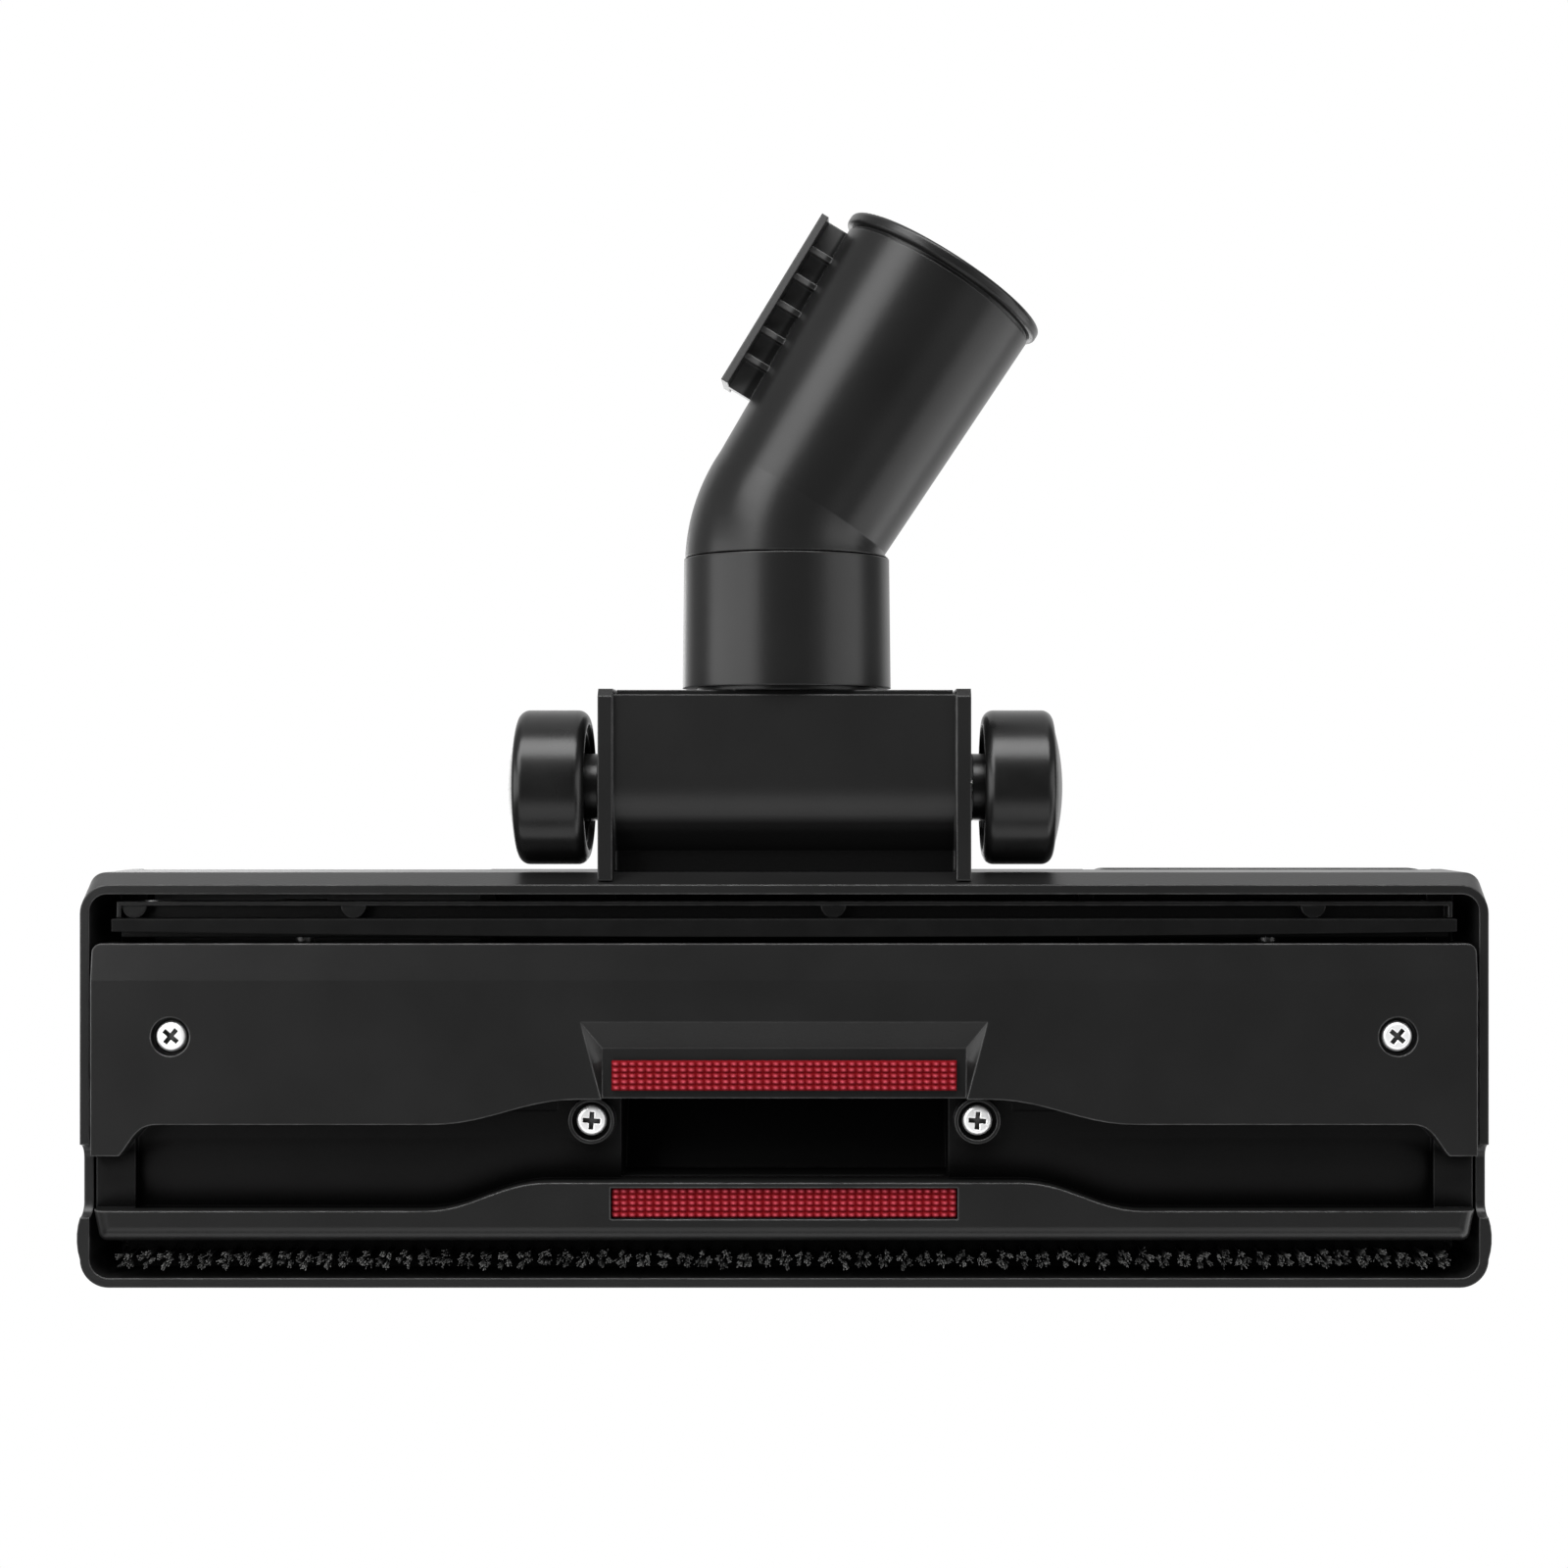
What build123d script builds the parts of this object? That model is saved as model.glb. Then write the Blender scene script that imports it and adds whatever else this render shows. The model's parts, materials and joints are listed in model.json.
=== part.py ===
from build123d import *
import os
from math import asin, cos, degrees, radians, sin, sqrt

os.makedirs("parts", exist_ok=True)

# Frame: sole face at Z = 0, front edge towards -Y, neck towards +Y, left wheel on +X.

# Head cover
head_width = 270.0
head_front = 55.4
head_rear = 24.0
head_height = 30.0
nose_height = 25.0
slope_start = 10.0
rim_lift = 2.0
cover_wall = 1.8
front_corner = 5.5
rear_corner = 3.2
rim_corner = 5.5
shoulder_radius = 5.0
nose_radius = 9.0
rear_top_radius = 3.0
rear_flare = 2.2
rear_flare_rise = 6.0
notch_rear = 28.0
notch_front = 42.0
notch_height = 2.8
bumper_proud = 0.6
bumper_depth = 4.0
bumper_length = 15.0
bumper_y = -46.0
bumper_top = 14.0
cut_over = 1.0

# Base plate
plate_side_gap = 0.8
plate_rear = 10.6
plate_front = 46.4
channel_depth = 6.0
deck_thickness = 2.0
pad_front_middle = 19.1
pad_front_side = 23.9
pad_front_lobe = 29.9
pad_middle_half = 39.3
pad_side_start = 67.3
lobe_land = 5.4
lobe_run = 7.3
bar_rear_middle = 35.0
bar_rear_side = 40.4
bar_middle_half = 45.0
bar_side_start = 69.0
bar_front_round = 3.0
bar_end_taper = 1.2
bar_corner = 1.5
rear_bevel_run = 7.0
rear_bevel_rise = 1.2
pad_corner = 1.7
channel_end_land = 7.5
channel_end_drop = 2.0
pocket_floor = 3.0
pocket_screw_gap = 9.2
pocket_rib = 2.0
pocket_count = 3
pocket_inner_edge = 44.0

# Suction mouth and lint strips
mouth_half = 31.6
mouth_rear = 19.3
mouth_front = 34.6
strip_half = 33.0
strip_width = 5.7
strip_proud = 0.4
strip_clearance = 0.15
rear_strip_front = 17.5
front_strip_rear = 36.1
front_recess_depth = 1.4
bevel_top_half = 38.9
bevel_rear = 4.3
bevel_floor_half = 34.9
bevel_floor_rear = 9.5
bevel_depth = 2.0

# Screws
outer_screw_inset = 15.2
outer_screw_y = -7.1
inner_screw_x = 37.1
inner_screw_y = -23.6
screw_head_radius = 2.9
screw_head_height = 1.8
screw_head_sink = 0.5
screw_head_round = 0.8
screw_bore_radius = 3.7
screw_shank_radius = 1.6
screw_length = 16.0
screw_tip_gap = 0.7
screw_clearance = 0.1
screw_grip = 0.03
screw_cross_width = 0.9
screw_cross_span = 3.4
screw_cross_depth = 1.3
outer_screw_turn = 40.0
inner_screw_turn = 4.0
seat_wall = 0.7
seat_height = 3.0
boss_wall = 1.6

# Air duct
duct_wall = 1.6
duct_front_rise = 10.0
duct_top_gap = 1.2
duct_knee = 10.0
duct_floor_lift = 2.7
duct_ramp = 8.0

# Neck housing behind the head
box_half = 35.9
cheek_thickness = 2.8
housing_rear = 59.5
housing_bottom = 3.0
housing_top = 33.0
pivot_y = 42.6
pivot_z = 23.0
saddle_outer = 19.0
saddle_wall = 2.0
saddle_end_margin = 11.4
flange_thickness = 2.0
flange_lip = 4.0
flange_gap = 0.1
window_gap = 0.3
throat_wall = 1.4
cheek_neck = 0.4
cheek_top_round = 4.0
floor_setback = 1.1
cheek_rear_chamfer = 1.5
cheek_top_front = 32.0
cheek_top_rear = 50.0
cheek_tail_height = 20.0
stop_width = 24.0
stop_length = 3.0
stop_gap = 0.2

# Tilting neck
drum_clearance = 0.4
drum_side_clearance = 0.5
drum_wall = 2.0
trunnion_radius = 5.0
trunnion_clearance = 0.1
trunnion_end_gap = 0.3
tail_half_height = 15.0
tail_rear = 59.4
tail_wall = 2.0
neck_bore = 16.0
spigot_wall = 2.0
spigot_length = 8.6
funnel_start = 4.0
funnel_corner = 4.0
funnel_width = 30.0
funnel_end_corner = 12.5
wiper_span = 7.0
wiper_gap = 0.2
wiper_depth = 1.8

# Swivel collar and elbow
collar_front = 60.2
collar_length = 25.7
collar_base_radius = 20.8
collar_end_radius = 20.5
collar_fit = 0.1
swivel_clearance = 0.35
seam_gap = 0.3
seal_thickness = 1.6
seal_gap = 0.1
ring_width = 2.6
ring_proud = 1.1
ring_gap = 0.3
ring_setback = 2.0
ring_seat = 0.8
ring_split = 2.0
tube_radius = 20.3
leg_start_radius = 19.4
leg_end_radius = 21.0
bend_section_count = 5
socket_radius = 17.5
socket_depth = 42.0
elbow_bore = 15.5
bend_radius = 20.9
bend_angle = 32.0
leg_length = 54.1
flange_radius = 22.0
flange_width = 2.4
flange_groove = 0.8
flange_round = 0.8
rail_length = 38.4
rail_flange_gap = 1.2
rail_reach = 26.3
rail_root = 1.0
rail_lean = 0.6
rail_plate = 1.5
rail_plate_width = 12.0
rail_web = 3.0
rail_rib_width = 9.0
rail_rib = 1.2
rail_rib_pitch = 6.2
rail_rib_count = 5

# Wheels
wheel_y = 40.5
wheel_radius = 15.15
wheel_gap = 2.7
wheel_width = 13.8
tyre_thickness = 2.7
tyre_shoulder = 2.2
rim_thickness = 1.5
hub_boss_radius = 6.6
hub_end_gap = 0.6
hub_fit = 0.1
hub_web = 2.0
spoke_count = 6
spoke_thickness = 1.4
spoke_setback = 1.6
cap_rise = 1.9
cap_lip = 1.2
axle_radius = 2.0
axle_head_radius = 3.4
axle_head_height = 1.4
axle_end_gap = 0.3
press_gap = 0.02

# Pedals
pedal_inner = 60.0
pedal_side_margin = 5.5
pedal_front = 1.0
pedal_overhang = 0.2
pedal_thickness = 2.0
pedal_skirt = 5.5
pedal_skirt_wall = 1.4
pedal_corner = 4.0
pedal_gap = 0.5
pedal_front_gap = 1.5
pedal_well_depth = 6.0
ledge_front = 0.5
ledge_width = 1.5
ledge_thickness = 1.2
pedal_pivot_y = -6.0
pedal_pivot_z = 22.0
pedal_barrel = 3.0
barrel_screw_gap = 9.2
pin_radius = 1.5
pin_running = 0.15
ear_thickness = 2.5
ear_gap = 0.4
ear_half = 3.2
arm_x = 70.0
arm_width = 8.0
arm_depth = 4.0
nose_pin_radius = 1.5

# Slide bar, brush and lip
shift = 4.0
bar_y = -41.5
bar_thickness = 4.0
bar_lift = 0.4
bar_height = 11.6
bar_end = 7.0
slot_clearance = 0.55
rod_slot_clearance = 0.35
guide_gap = 0.4
guide_thickness = 1.8
guide_width = 5.0
guide_x = 50.0
rod_x = 95.0
rod_radius = 1.75
rod_z = 16.0
rod_socket = 4.0
rod_cover = 1.0
carrier_gap = 0.5
carrier_end_gap = 4.7
carrier_bottom = 11.0
carrier_chamfer = 2.0
tuft_radius = 1.5
tuft_pitch = 3.83
tuft_margin = 2.0
tuft_end = 1.0
holder_end_gap = 4.5
holder_front = 11.4
holder_rear = 18.5
holder_bottom = 4.6
holder_top = 10.2
holder_wall = 0.8
holder_plate = 2.6
holder_boss_width = 8.0
holder_bump_middle = -9.4
holder_bump_pitch = 92.6
holder_bump_inset = 3.2
holder_bump_radius = 2.4
holder_bump_lift = 0.6
lip_front = 12.9
lip_rear = 15.3
lip_bow = 1.0
lip_end = 1.2
lip_gap = 0.1
tongue_width = 1.2
tongue_height = 1.8
tongue_gap = 0.05

# Derived widths, heights and radii
head_half = head_width / 2
plate_half_width = head_half - cover_wall - plate_side_gap
pad_lobe_end = plate_half_width - lobe_land
pad_lobe_start = pad_lobe_end - lobe_run
channel_end = plate_half_width - channel_end_land
outer_screw_x = plate_half_width - outer_screw_inset
pocket_outer_edge = outer_screw_x - pocket_screw_gap
wheel_inner = box_half + wheel_gap
pedal_outer = head_half - pedal_side_margin
pedal_barrel_end = outer_screw_x - barrel_screw_gap
carrier_half_length = head_half - cover_wall - carrier_end_gap
tuft_count = int(2 * (carrier_half_length - tuft_margin) / tuft_pitch) + 1
holder_half = head_half - cover_wall - holder_end_gap
deck_top = channel_depth + deck_thickness
cover_inner_top = head_height - cover_wall
saddle_inner = saddle_outer - saddle_wall
drum_radius = saddle_inner - drum_clearance
drum_inner = drum_radius - drum_wall
cheek_inner = box_half - cheek_thickness
drum_half = cheek_inner - drum_side_clearance
duct_half = mouth_half + duct_wall
duct_top = cover_inner_top - duct_top_gap
duct_floor = deck_top + duct_floor_lift
flange_rear = head_rear - cover_wall - flange_gap
flange_front = flange_rear - flange_thickness
housing_floor = pivot_z - saddle_inner
wheel_outer = wheel_inner + wheel_width
spigot_radius = neck_bore + spigot_wall
collar_bore = spigot_radius + collar_fit
collar_rear = collar_front + collar_length
elbow_spigot = collar_bore - swivel_clearance
pedal_rear = head_rear + pedal_overhang
pedal_angle = degrees(asin(shift / (pedal_pivot_y - bar_y)))
bar_bottom = deck_top + bar_lift
low_z = rod_z - shift


def side_plane(x):
    """Plane whose local axes are Y and Z, at the given X."""
    return Plane.YZ.offset(x)


def neck_plane(y):
    """Plane square to the neck axis, at the given Y."""
    return Plane(origin=(0, y, pivot_z), x_dir=(1, 0, 0), z_dir=(0, 1, 0))


def plan_outline(inset, rear, rear_round):
    """Rounded plan of the head drawn in by an inset, up to the given rear edge."""
    front = inset - head_front
    with BuildSketch() as plan:
        with Locations((0, (front + rear) / 2)):
            Rectangle(head_width - 2 * inset, rear - front)
        fillet(plan.vertices().group_by(Axis.Y)[-1], rear_round - inset)
        fillet(plan.vertices().group_by(Axis.Y)[0], front_corner - inset)
    return plan.sketch


def plan_block(inset, floor):
    """Plan form of the head drawn in by an inset, flared at the rear from the rim up."""
    rear = head_rear - inset
    flare_top = rim_lift + rear_flare_rise
    low_rear = rear - rear_flare * (flare_top - floor) / rear_flare_rise
    with BuildPart() as block:
        with BuildSketch(Plane.XY.offset(floor)):
            add(plan_outline(inset, low_rear, rim_corner))
        with BuildSketch(Plane.XY.offset(flare_top)) as upper:
            add(plan_outline(inset, rear, rear_corner))
        loft(ruled=True)
        extrude(upper.sketch, amount=head_height)
    return block.part


def head_block(inset, floor):
    """Outer form of the head drawn in by an inset, from the height floor up."""
    front = inset - head_front
    rear = head_rear - inset
    half = head_half - inset
    top = head_height - inset
    plan = plan_block(inset, floor)
    with BuildPart() as block:
        with BuildSketch(Plane.YZ) as profile:
            with BuildLine():
                Polyline(
                    (front, floor),
                    (front, nose_height - inset),
                    (-slope_start, top),
                    (rear, top),
                    (rear, floor),
                    close=True,
                )
            make_face()
            nose = profile.vertices().sort_by_distance((front, nose_height - inset))[0]
            fillet(nose, nose_radius - inset)
            rear_top = profile.vertices().sort_by_distance((rear, top))[0]
            fillet(rear_top, rear_top_radius - inset)
        extrude(amount=half, both=True)
        add(plan, mode=Mode.INTERSECT)
        with BuildSketch(Plane.XZ) as elevation:
            with Locations((0, (top + floor) / 2)):
                Rectangle(2 * half, top - floor)
            fillet(elevation.vertices().group_by(Axis.Y)[-1], shoulder_radius - inset)
        extrude(amount=head_front + head_rear, both=True, mode=Mode.INTERSECT)
    return block.part


def save(builder, name):
    """Label a finished piece and write it as its own file."""
    builder.part.label = name
    export_step(builder.part, f"parts/{name}.step")


# Top cover: hollow moulding with screw bosses, pedal wells, pedal ears and side notches
screw_places = [
    (outer_screw_x, outer_screw_y),
    (-outer_screw_x, outer_screw_y),
    (inner_screw_x, inner_screw_y),
    (-inner_screw_x, inner_screw_y),
]
boss_radius = screw_shank_radius + boss_wall
screw_tip = channel_depth - seat_height + screw_head_sink + screw_head_height + screw_length
ear_x = [
    pedal_inner - ear_gap - ear_thickness / 2,
    pedal_barrel_end + ear_gap + ear_thickness / 2,
]
outer_form = head_block(0, rim_lift)
inner_form = head_block(cover_wall, rim_lift - cut_over)

with BuildPart() as cover_inside:
    with BuildSketch(Plane.XY.offset(deck_top)):
        with Locations(*screw_places):
            Circle(boss_radius)
    extrude(amount=head_height)
    with BuildSketch(Plane.XY.offset(deck_top)):
        with Locations(*screw_places):
            Circle(screw_shank_radius + screw_grip)
    extrude(amount=screw_tip + screw_tip_gap - deck_top, mode=Mode.SUBTRACT)
    for side in (1, -1):
        for x in ear_x:
            with BuildSketch(side_plane(side * x - ear_thickness / 2)):
                with Locations((pedal_pivot_y, (pedal_pivot_z + head_height) / 2)):
                    Rectangle(2 * ear_half, head_height - pedal_pivot_z)
                with Locations((pedal_pivot_y, pedal_pivot_z)):
                    Circle(ear_half)
                    Circle(pin_radius + press_gap, mode=Mode.SUBTRACT)
            extrude(amount=ear_thickness)
    # Ledges below the side edges of the pedals, the inner one hung on a wall
    ledge_low = head_height - pedal_well_depth - ledge_thickness
    ledge_length = head_rear - ledge_front
    ledge_y = (head_rear + ledge_front) / 2
    hung_wall = pedal_inner - pedal_gap - ledge_thickness / 2
    ledge_spans = ((hung_wall, pedal_inner + ledge_width), (pedal_outer - ledge_width, head_half))
    for side in (1, -1):
        with BuildSketch(Plane.XY.offset(ledge_low)):
            for start, end in ledge_spans:
                with Locations((side * (start + end) / 2, ledge_y)):
                    Rectangle(end - start, ledge_length)
        extrude(amount=ledge_thickness)
        with BuildSketch(Plane.XY.offset(ledge_low)):
            with Locations((side * hung_wall, ledge_y)):
                Rectangle(ledge_thickness, ledge_length)
        extrude(amount=head_height)
    add(inner_form, mode=Mode.INTERSECT)

with BuildPart() as top_cover:
    add(outer_form)
    # Bumpers at the front of both side walls
    bumper_x = head_half + bumper_proud - bumper_depth
    with BuildSketch(Plane.XY.offset(rim_lift)):
        with Locations((bumper_x, bumper_y), (-bumper_x, bumper_y)):
            Ellipse(bumper_depth, bumper_length / 2)
    extrude(amount=bumper_top - rim_lift)
    add(inner_form, mode=Mode.SUBTRACT)
    # Arched notches in both side walls draw dust along the skirting
    with BuildSketch(Plane.YZ):
        with Locations((-(notch_rear + notch_front) / 2, rim_lift)):
            SlotOverall(notch_front - notch_rear, 2 * notch_height)
    extrude(amount=head_width, both=True, mode=Mode.SUBTRACT)
    # Wells for the pedals, open to the rear
    for side in (1, -1):
        well_width = pedal_outer - pedal_inner + 2 * pedal_gap
        with BuildSketch(Plane.XY.offset(head_height - pedal_well_depth)):
            well_front = -pedal_front - pedal_front_gap
            well_rear = head_rear + cut_over
            with Locations((side * (pedal_inner + pedal_outer) / 2, (well_front + well_rear) / 2)):
                Rectangle(well_width, well_rear - well_front)
        extrude(amount=pedal_well_depth + cut_over, mode=Mode.SUBTRACT)
    # Window in the rear wall for the neck housing
    with BuildSketch(Plane.XZ.offset(-head_rear - cut_over)):
        window_low = duct_floor - window_gap
        window_high = duct_top + window_gap
        with Locations((0, (window_low + window_high) / 2)):
            Rectangle(2 * (box_half + window_gap), window_high - window_low)
    extrude(amount=cover_wall + 2 * cut_over, mode=Mode.SUBTRACT)
    add(cover_inside.part)
save(top_cover, "top_cover")

# Base plate: sole pads below a thin deck, with the mouth, recesses and screw seats
with BuildPart() as base_plate:
    with BuildSketch(Plane.XY.offset(channel_depth)):
        with Locations((0, (plate_rear - plate_front) / 2)):
            RectangleRounded(2 * plate_half_width, plate_rear + plate_front, pad_corner)
    extrude(amount=deck_thickness)
    # Rear pad with its waved front edge
    with BuildSketch() as rear_pad:
        with BuildLine():
            Polyline(
                (0, -pad_front_middle),
                (0, plate_rear),
                (plate_half_width, plate_rear),
                (plate_half_width, -pad_front_lobe),
                (pad_lobe_end, -pad_front_lobe),
            )
            Spline(
                (pad_lobe_end, -pad_front_lobe),
                (pad_lobe_start, -pad_front_side),
                tangents=((-1, 1), (-1, 0)),
            )
            Line((pad_lobe_start, -pad_front_side), (pad_side_start, -pad_front_side))
            Spline(
                (pad_side_start, -pad_front_side),
                (pad_middle_half, -pad_front_middle),
                tangents=((-1, 0), (-1, 0)),
            )
            Line((pad_middle_half, -pad_front_middle), (0, -pad_front_middle))
        make_face()
        rear_corner = rear_pad.vertices().sort_by_distance((plate_half_width, plate_rear))[0]
        fillet(rear_corner, pad_corner)
        mirror(about=Plane.YZ)
    extrude(amount=channel_depth)
    # Front bar with its waved rear edge
    with BuildSketch() as front_bar:
        with BuildLine():
            Polyline(
                (0, -bar_rear_middle),
                (0, -plate_front),
                (plate_half_width - bar_end_taper, -plate_front),
                (plate_half_width, -bar_rear_side),
                (bar_side_start, -bar_rear_side),
            )
            Spline(
                (bar_side_start, -bar_rear_side),
                (bar_middle_half, -bar_rear_middle),
                tangents=((-1, 0), (-1, 0)),
            )
            Line((bar_middle_half, -bar_rear_middle), (0, -bar_rear_middle))
        make_face()
        bar_tip = front_bar.vertices().sort_by_distance((plate_half_width, -plate_front))[0]
        fillet(bar_tip, bar_corner)
        mirror(about=Plane.YZ)
    extrude(amount=channel_depth)
    front_edge = base_plate.edges().filter_by(Axis.X).group_by(Axis.Y)[0].group_by(Axis.Z)[0]
    fillet(front_edge, bar_front_round)
    # End steps of the channel
    for side in (1, -1):
        with BuildSketch(Plane.XY.offset(channel_depth - channel_end_drop)):
            end_width = plate_half_width - channel_end
            end_length = bar_rear_side - pad_front_side
            with Locations((side * (channel_end + end_width / 2), -(bar_rear_side + pad_front_side) / 2)):
                Rectangle(end_width, end_length)
        extrude(amount=channel_end_drop)
    # Seats of the two inner screws
    with BuildSketch(Plane.XY.offset(channel_depth - seat_height)):
        with Locations((inner_screw_x, inner_screw_y), (-inner_screw_x, inner_screw_y)):
            Circle(screw_bore_radius + seat_wall)
    extrude(amount=seat_height)
    # Guide posts of the slide bar
    for side in (1, -1):
        for face in (1, -1):
            post_y = bar_y + face * (bar_thickness / 2 + guide_gap + guide_thickness / 2)
            with BuildSketch(Plane.XY.offset(deck_top)):
                with Locations((side * guide_x, post_y)):
                    Rectangle(guide_width, guide_thickness)
            extrude(amount=bar_height)
    # Pockets that lighten the rear pad from above
    pocket_length = plate_rear + pad_front_side - 2 * pocket_rib - rear_bevel_run
    pocket_pitch = (pocket_outer_edge - pocket_inner_edge + pocket_rib) / pocket_count
    with BuildSketch(Plane.XY.offset(pocket_floor)):
        for index in range(pocket_count):
            x = pocket_inner_edge + index * pocket_pitch + (pocket_pitch - pocket_rib) / 2
            with Locations((x, (plate_rear - rear_bevel_run - pad_front_side) / 2)):
                Rectangle(pocket_pitch - pocket_rib, pocket_length)
        mirror(about=Plane.YZ)
    extrude(amount=deck_top, mode=Mode.SUBTRACT)
    # Shallow bevel along the rear edge of the sole
    with BuildSketch(Plane.YZ):
        with BuildLine():
            Polyline(
                (plate_rear, 0),
                (plate_rear - rear_bevel_run, 0),
                (plate_rear, rear_bevel_rise),
                close=True,
            )
        make_face()
    extrude(amount=head_width, both=True, mode=Mode.SUBTRACT)
    # Bevelled recess round the rear lint strip
    with BuildSketch():
        with BuildLine():
            Polyline(
                (-bevel_top_half, -bevel_rear),
                (bevel_top_half, -bevel_rear),
                (bevel_floor_half, -pad_front_middle),
                (-bevel_floor_half, -pad_front_middle),
                close=True,
            )
        make_face()
    with BuildSketch(Plane.XY.offset(bevel_depth)):
        with BuildLine():
            Polyline(
                (-bevel_floor_half, -bevel_floor_rear),
                (bevel_floor_half, -bevel_floor_rear),
                (bevel_floor_half, -pad_front_middle),
                (-bevel_floor_half, -pad_front_middle),
                close=True,
            )
        make_face()
    loft(ruled=True, mode=Mode.SUBTRACT)
    # Pocket of the front lint strip
    with BuildSketch():
        with Locations((0, -front_strip_rear - strip_width / 2)):
            Rectangle(2 * (strip_half + strip_clearance), strip_width + 2 * strip_clearance)
    extrude(amount=front_recess_depth, mode=Mode.SUBTRACT)
    # Suction mouth
    with BuildSketch():
        with Locations((0, -(mouth_rear + mouth_front) / 2)):
            Rectangle(2 * mouth_half, mouth_front - mouth_rear)
    extrude(amount=2 * deck_top, both=True, mode=Mode.SUBTRACT)
    # Screw holes, outer pair sunk in the sole and inner pair in their seats
    with BuildSketch():
        with Locations(*screw_places):
            Circle(screw_shank_radius + screw_clearance)
    extrude(amount=2 * deck_top, mode=Mode.SUBTRACT)
    bore_depth = screw_head_height + screw_head_sink
    for places, start in ((screw_places[:2], 0), (screw_places[2:], channel_depth - seat_height)):
        with BuildSketch(Plane.XY.offset(start)):
            with Locations(*places):
                Circle(screw_bore_radius)
        extrude(amount=bore_depth, mode=Mode.SUBTRACT)
save(base_plate, "base_plate")

# Lint strips: velour pads glued into their recesses
strip_seats = (
    ("rear_lint_strip", rear_strip_front - strip_width, bevel_depth),
    ("front_lint_strip", front_strip_rear, front_recess_depth),
)
for name, rear_edge, seat in strip_seats:
    with BuildPart() as lint_strip:
        with BuildSketch(Plane.XY.offset(strip_proud)):
            with Locations((0, -rear_edge - strip_width / 2)):
                Rectangle(2 * strip_half, strip_width)
        extrude(amount=seat - strip_proud)
    save(lint_strip, name)

# Cross-head screws, one pair in the sole and one pair beside the mouth
screw_rows = (
    ("outer_screws", screw_places[:2], 0, outer_screw_turn),
    ("inner_screws", screw_places[2:], channel_depth - seat_height, inner_screw_turn),
)
for name, places, start, turn in screw_rows:
    with BuildPart() as screws:
        with BuildSketch(Plane.XY.offset(start + screw_head_sink)):
            with Locations(*places):
                Circle(screw_head_radius)
        extrude(amount=screw_head_height)
        fillet(screws.edges().filter_by(GeomType.CIRCLE).group_by(Axis.Z)[0], screw_head_round)
        with BuildSketch(Plane.XY.offset(start + screw_head_sink + screw_head_height)):
            with Locations(*places):
                Circle(screw_shank_radius)
        extrude(amount=screw_length)
        with BuildSketch(Plane.XY.offset(start + screw_head_sink)):
            with Locations(*places):
                Rectangle(screw_cross_span, screw_cross_width, rotation=turn)
                Rectangle(screw_cross_width, screw_cross_span, rotation=turn)
        extrude(amount=screw_cross_depth, mode=Mode.SUBTRACT)
    save(screws, name)

# Air duct: hood over the mouth that leads back to the neck
ramp_end = -mouth_rear + duct_ramp
with BuildPart() as air_duct:
    with BuildSketch(Plane.YZ):
        with BuildLine():
            Polyline(
                (-mouth_front - duct_wall, deck_top),
                (-mouth_front - duct_wall, deck_top + duct_front_rise),
                (-duct_knee, duct_top),
                (flange_front, duct_top),
                (flange_front, duct_floor),
                (ramp_end + duct_wall, duct_floor),
                (-mouth_rear + duct_wall, deck_top),
                close=True,
            )
        make_face()
    extrude(amount=duct_half, both=True)
    with BuildSketch(Plane.YZ):
        with BuildLine():
            Polyline(
                (-mouth_front, deck_top),
                (-mouth_front, deck_top + duct_front_rise - duct_wall),
                (-duct_knee, duct_top - duct_wall),
                (flange_front, duct_top - duct_wall),
                (flange_front, duct_floor + duct_wall),
                (ramp_end, duct_floor + duct_wall),
                (-mouth_rear, deck_top),
                close=True,
            )
        make_face()
    extrude(amount=mouth_half, both=True, mode=Mode.SUBTRACT)
save(air_duct, "air_duct")

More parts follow.
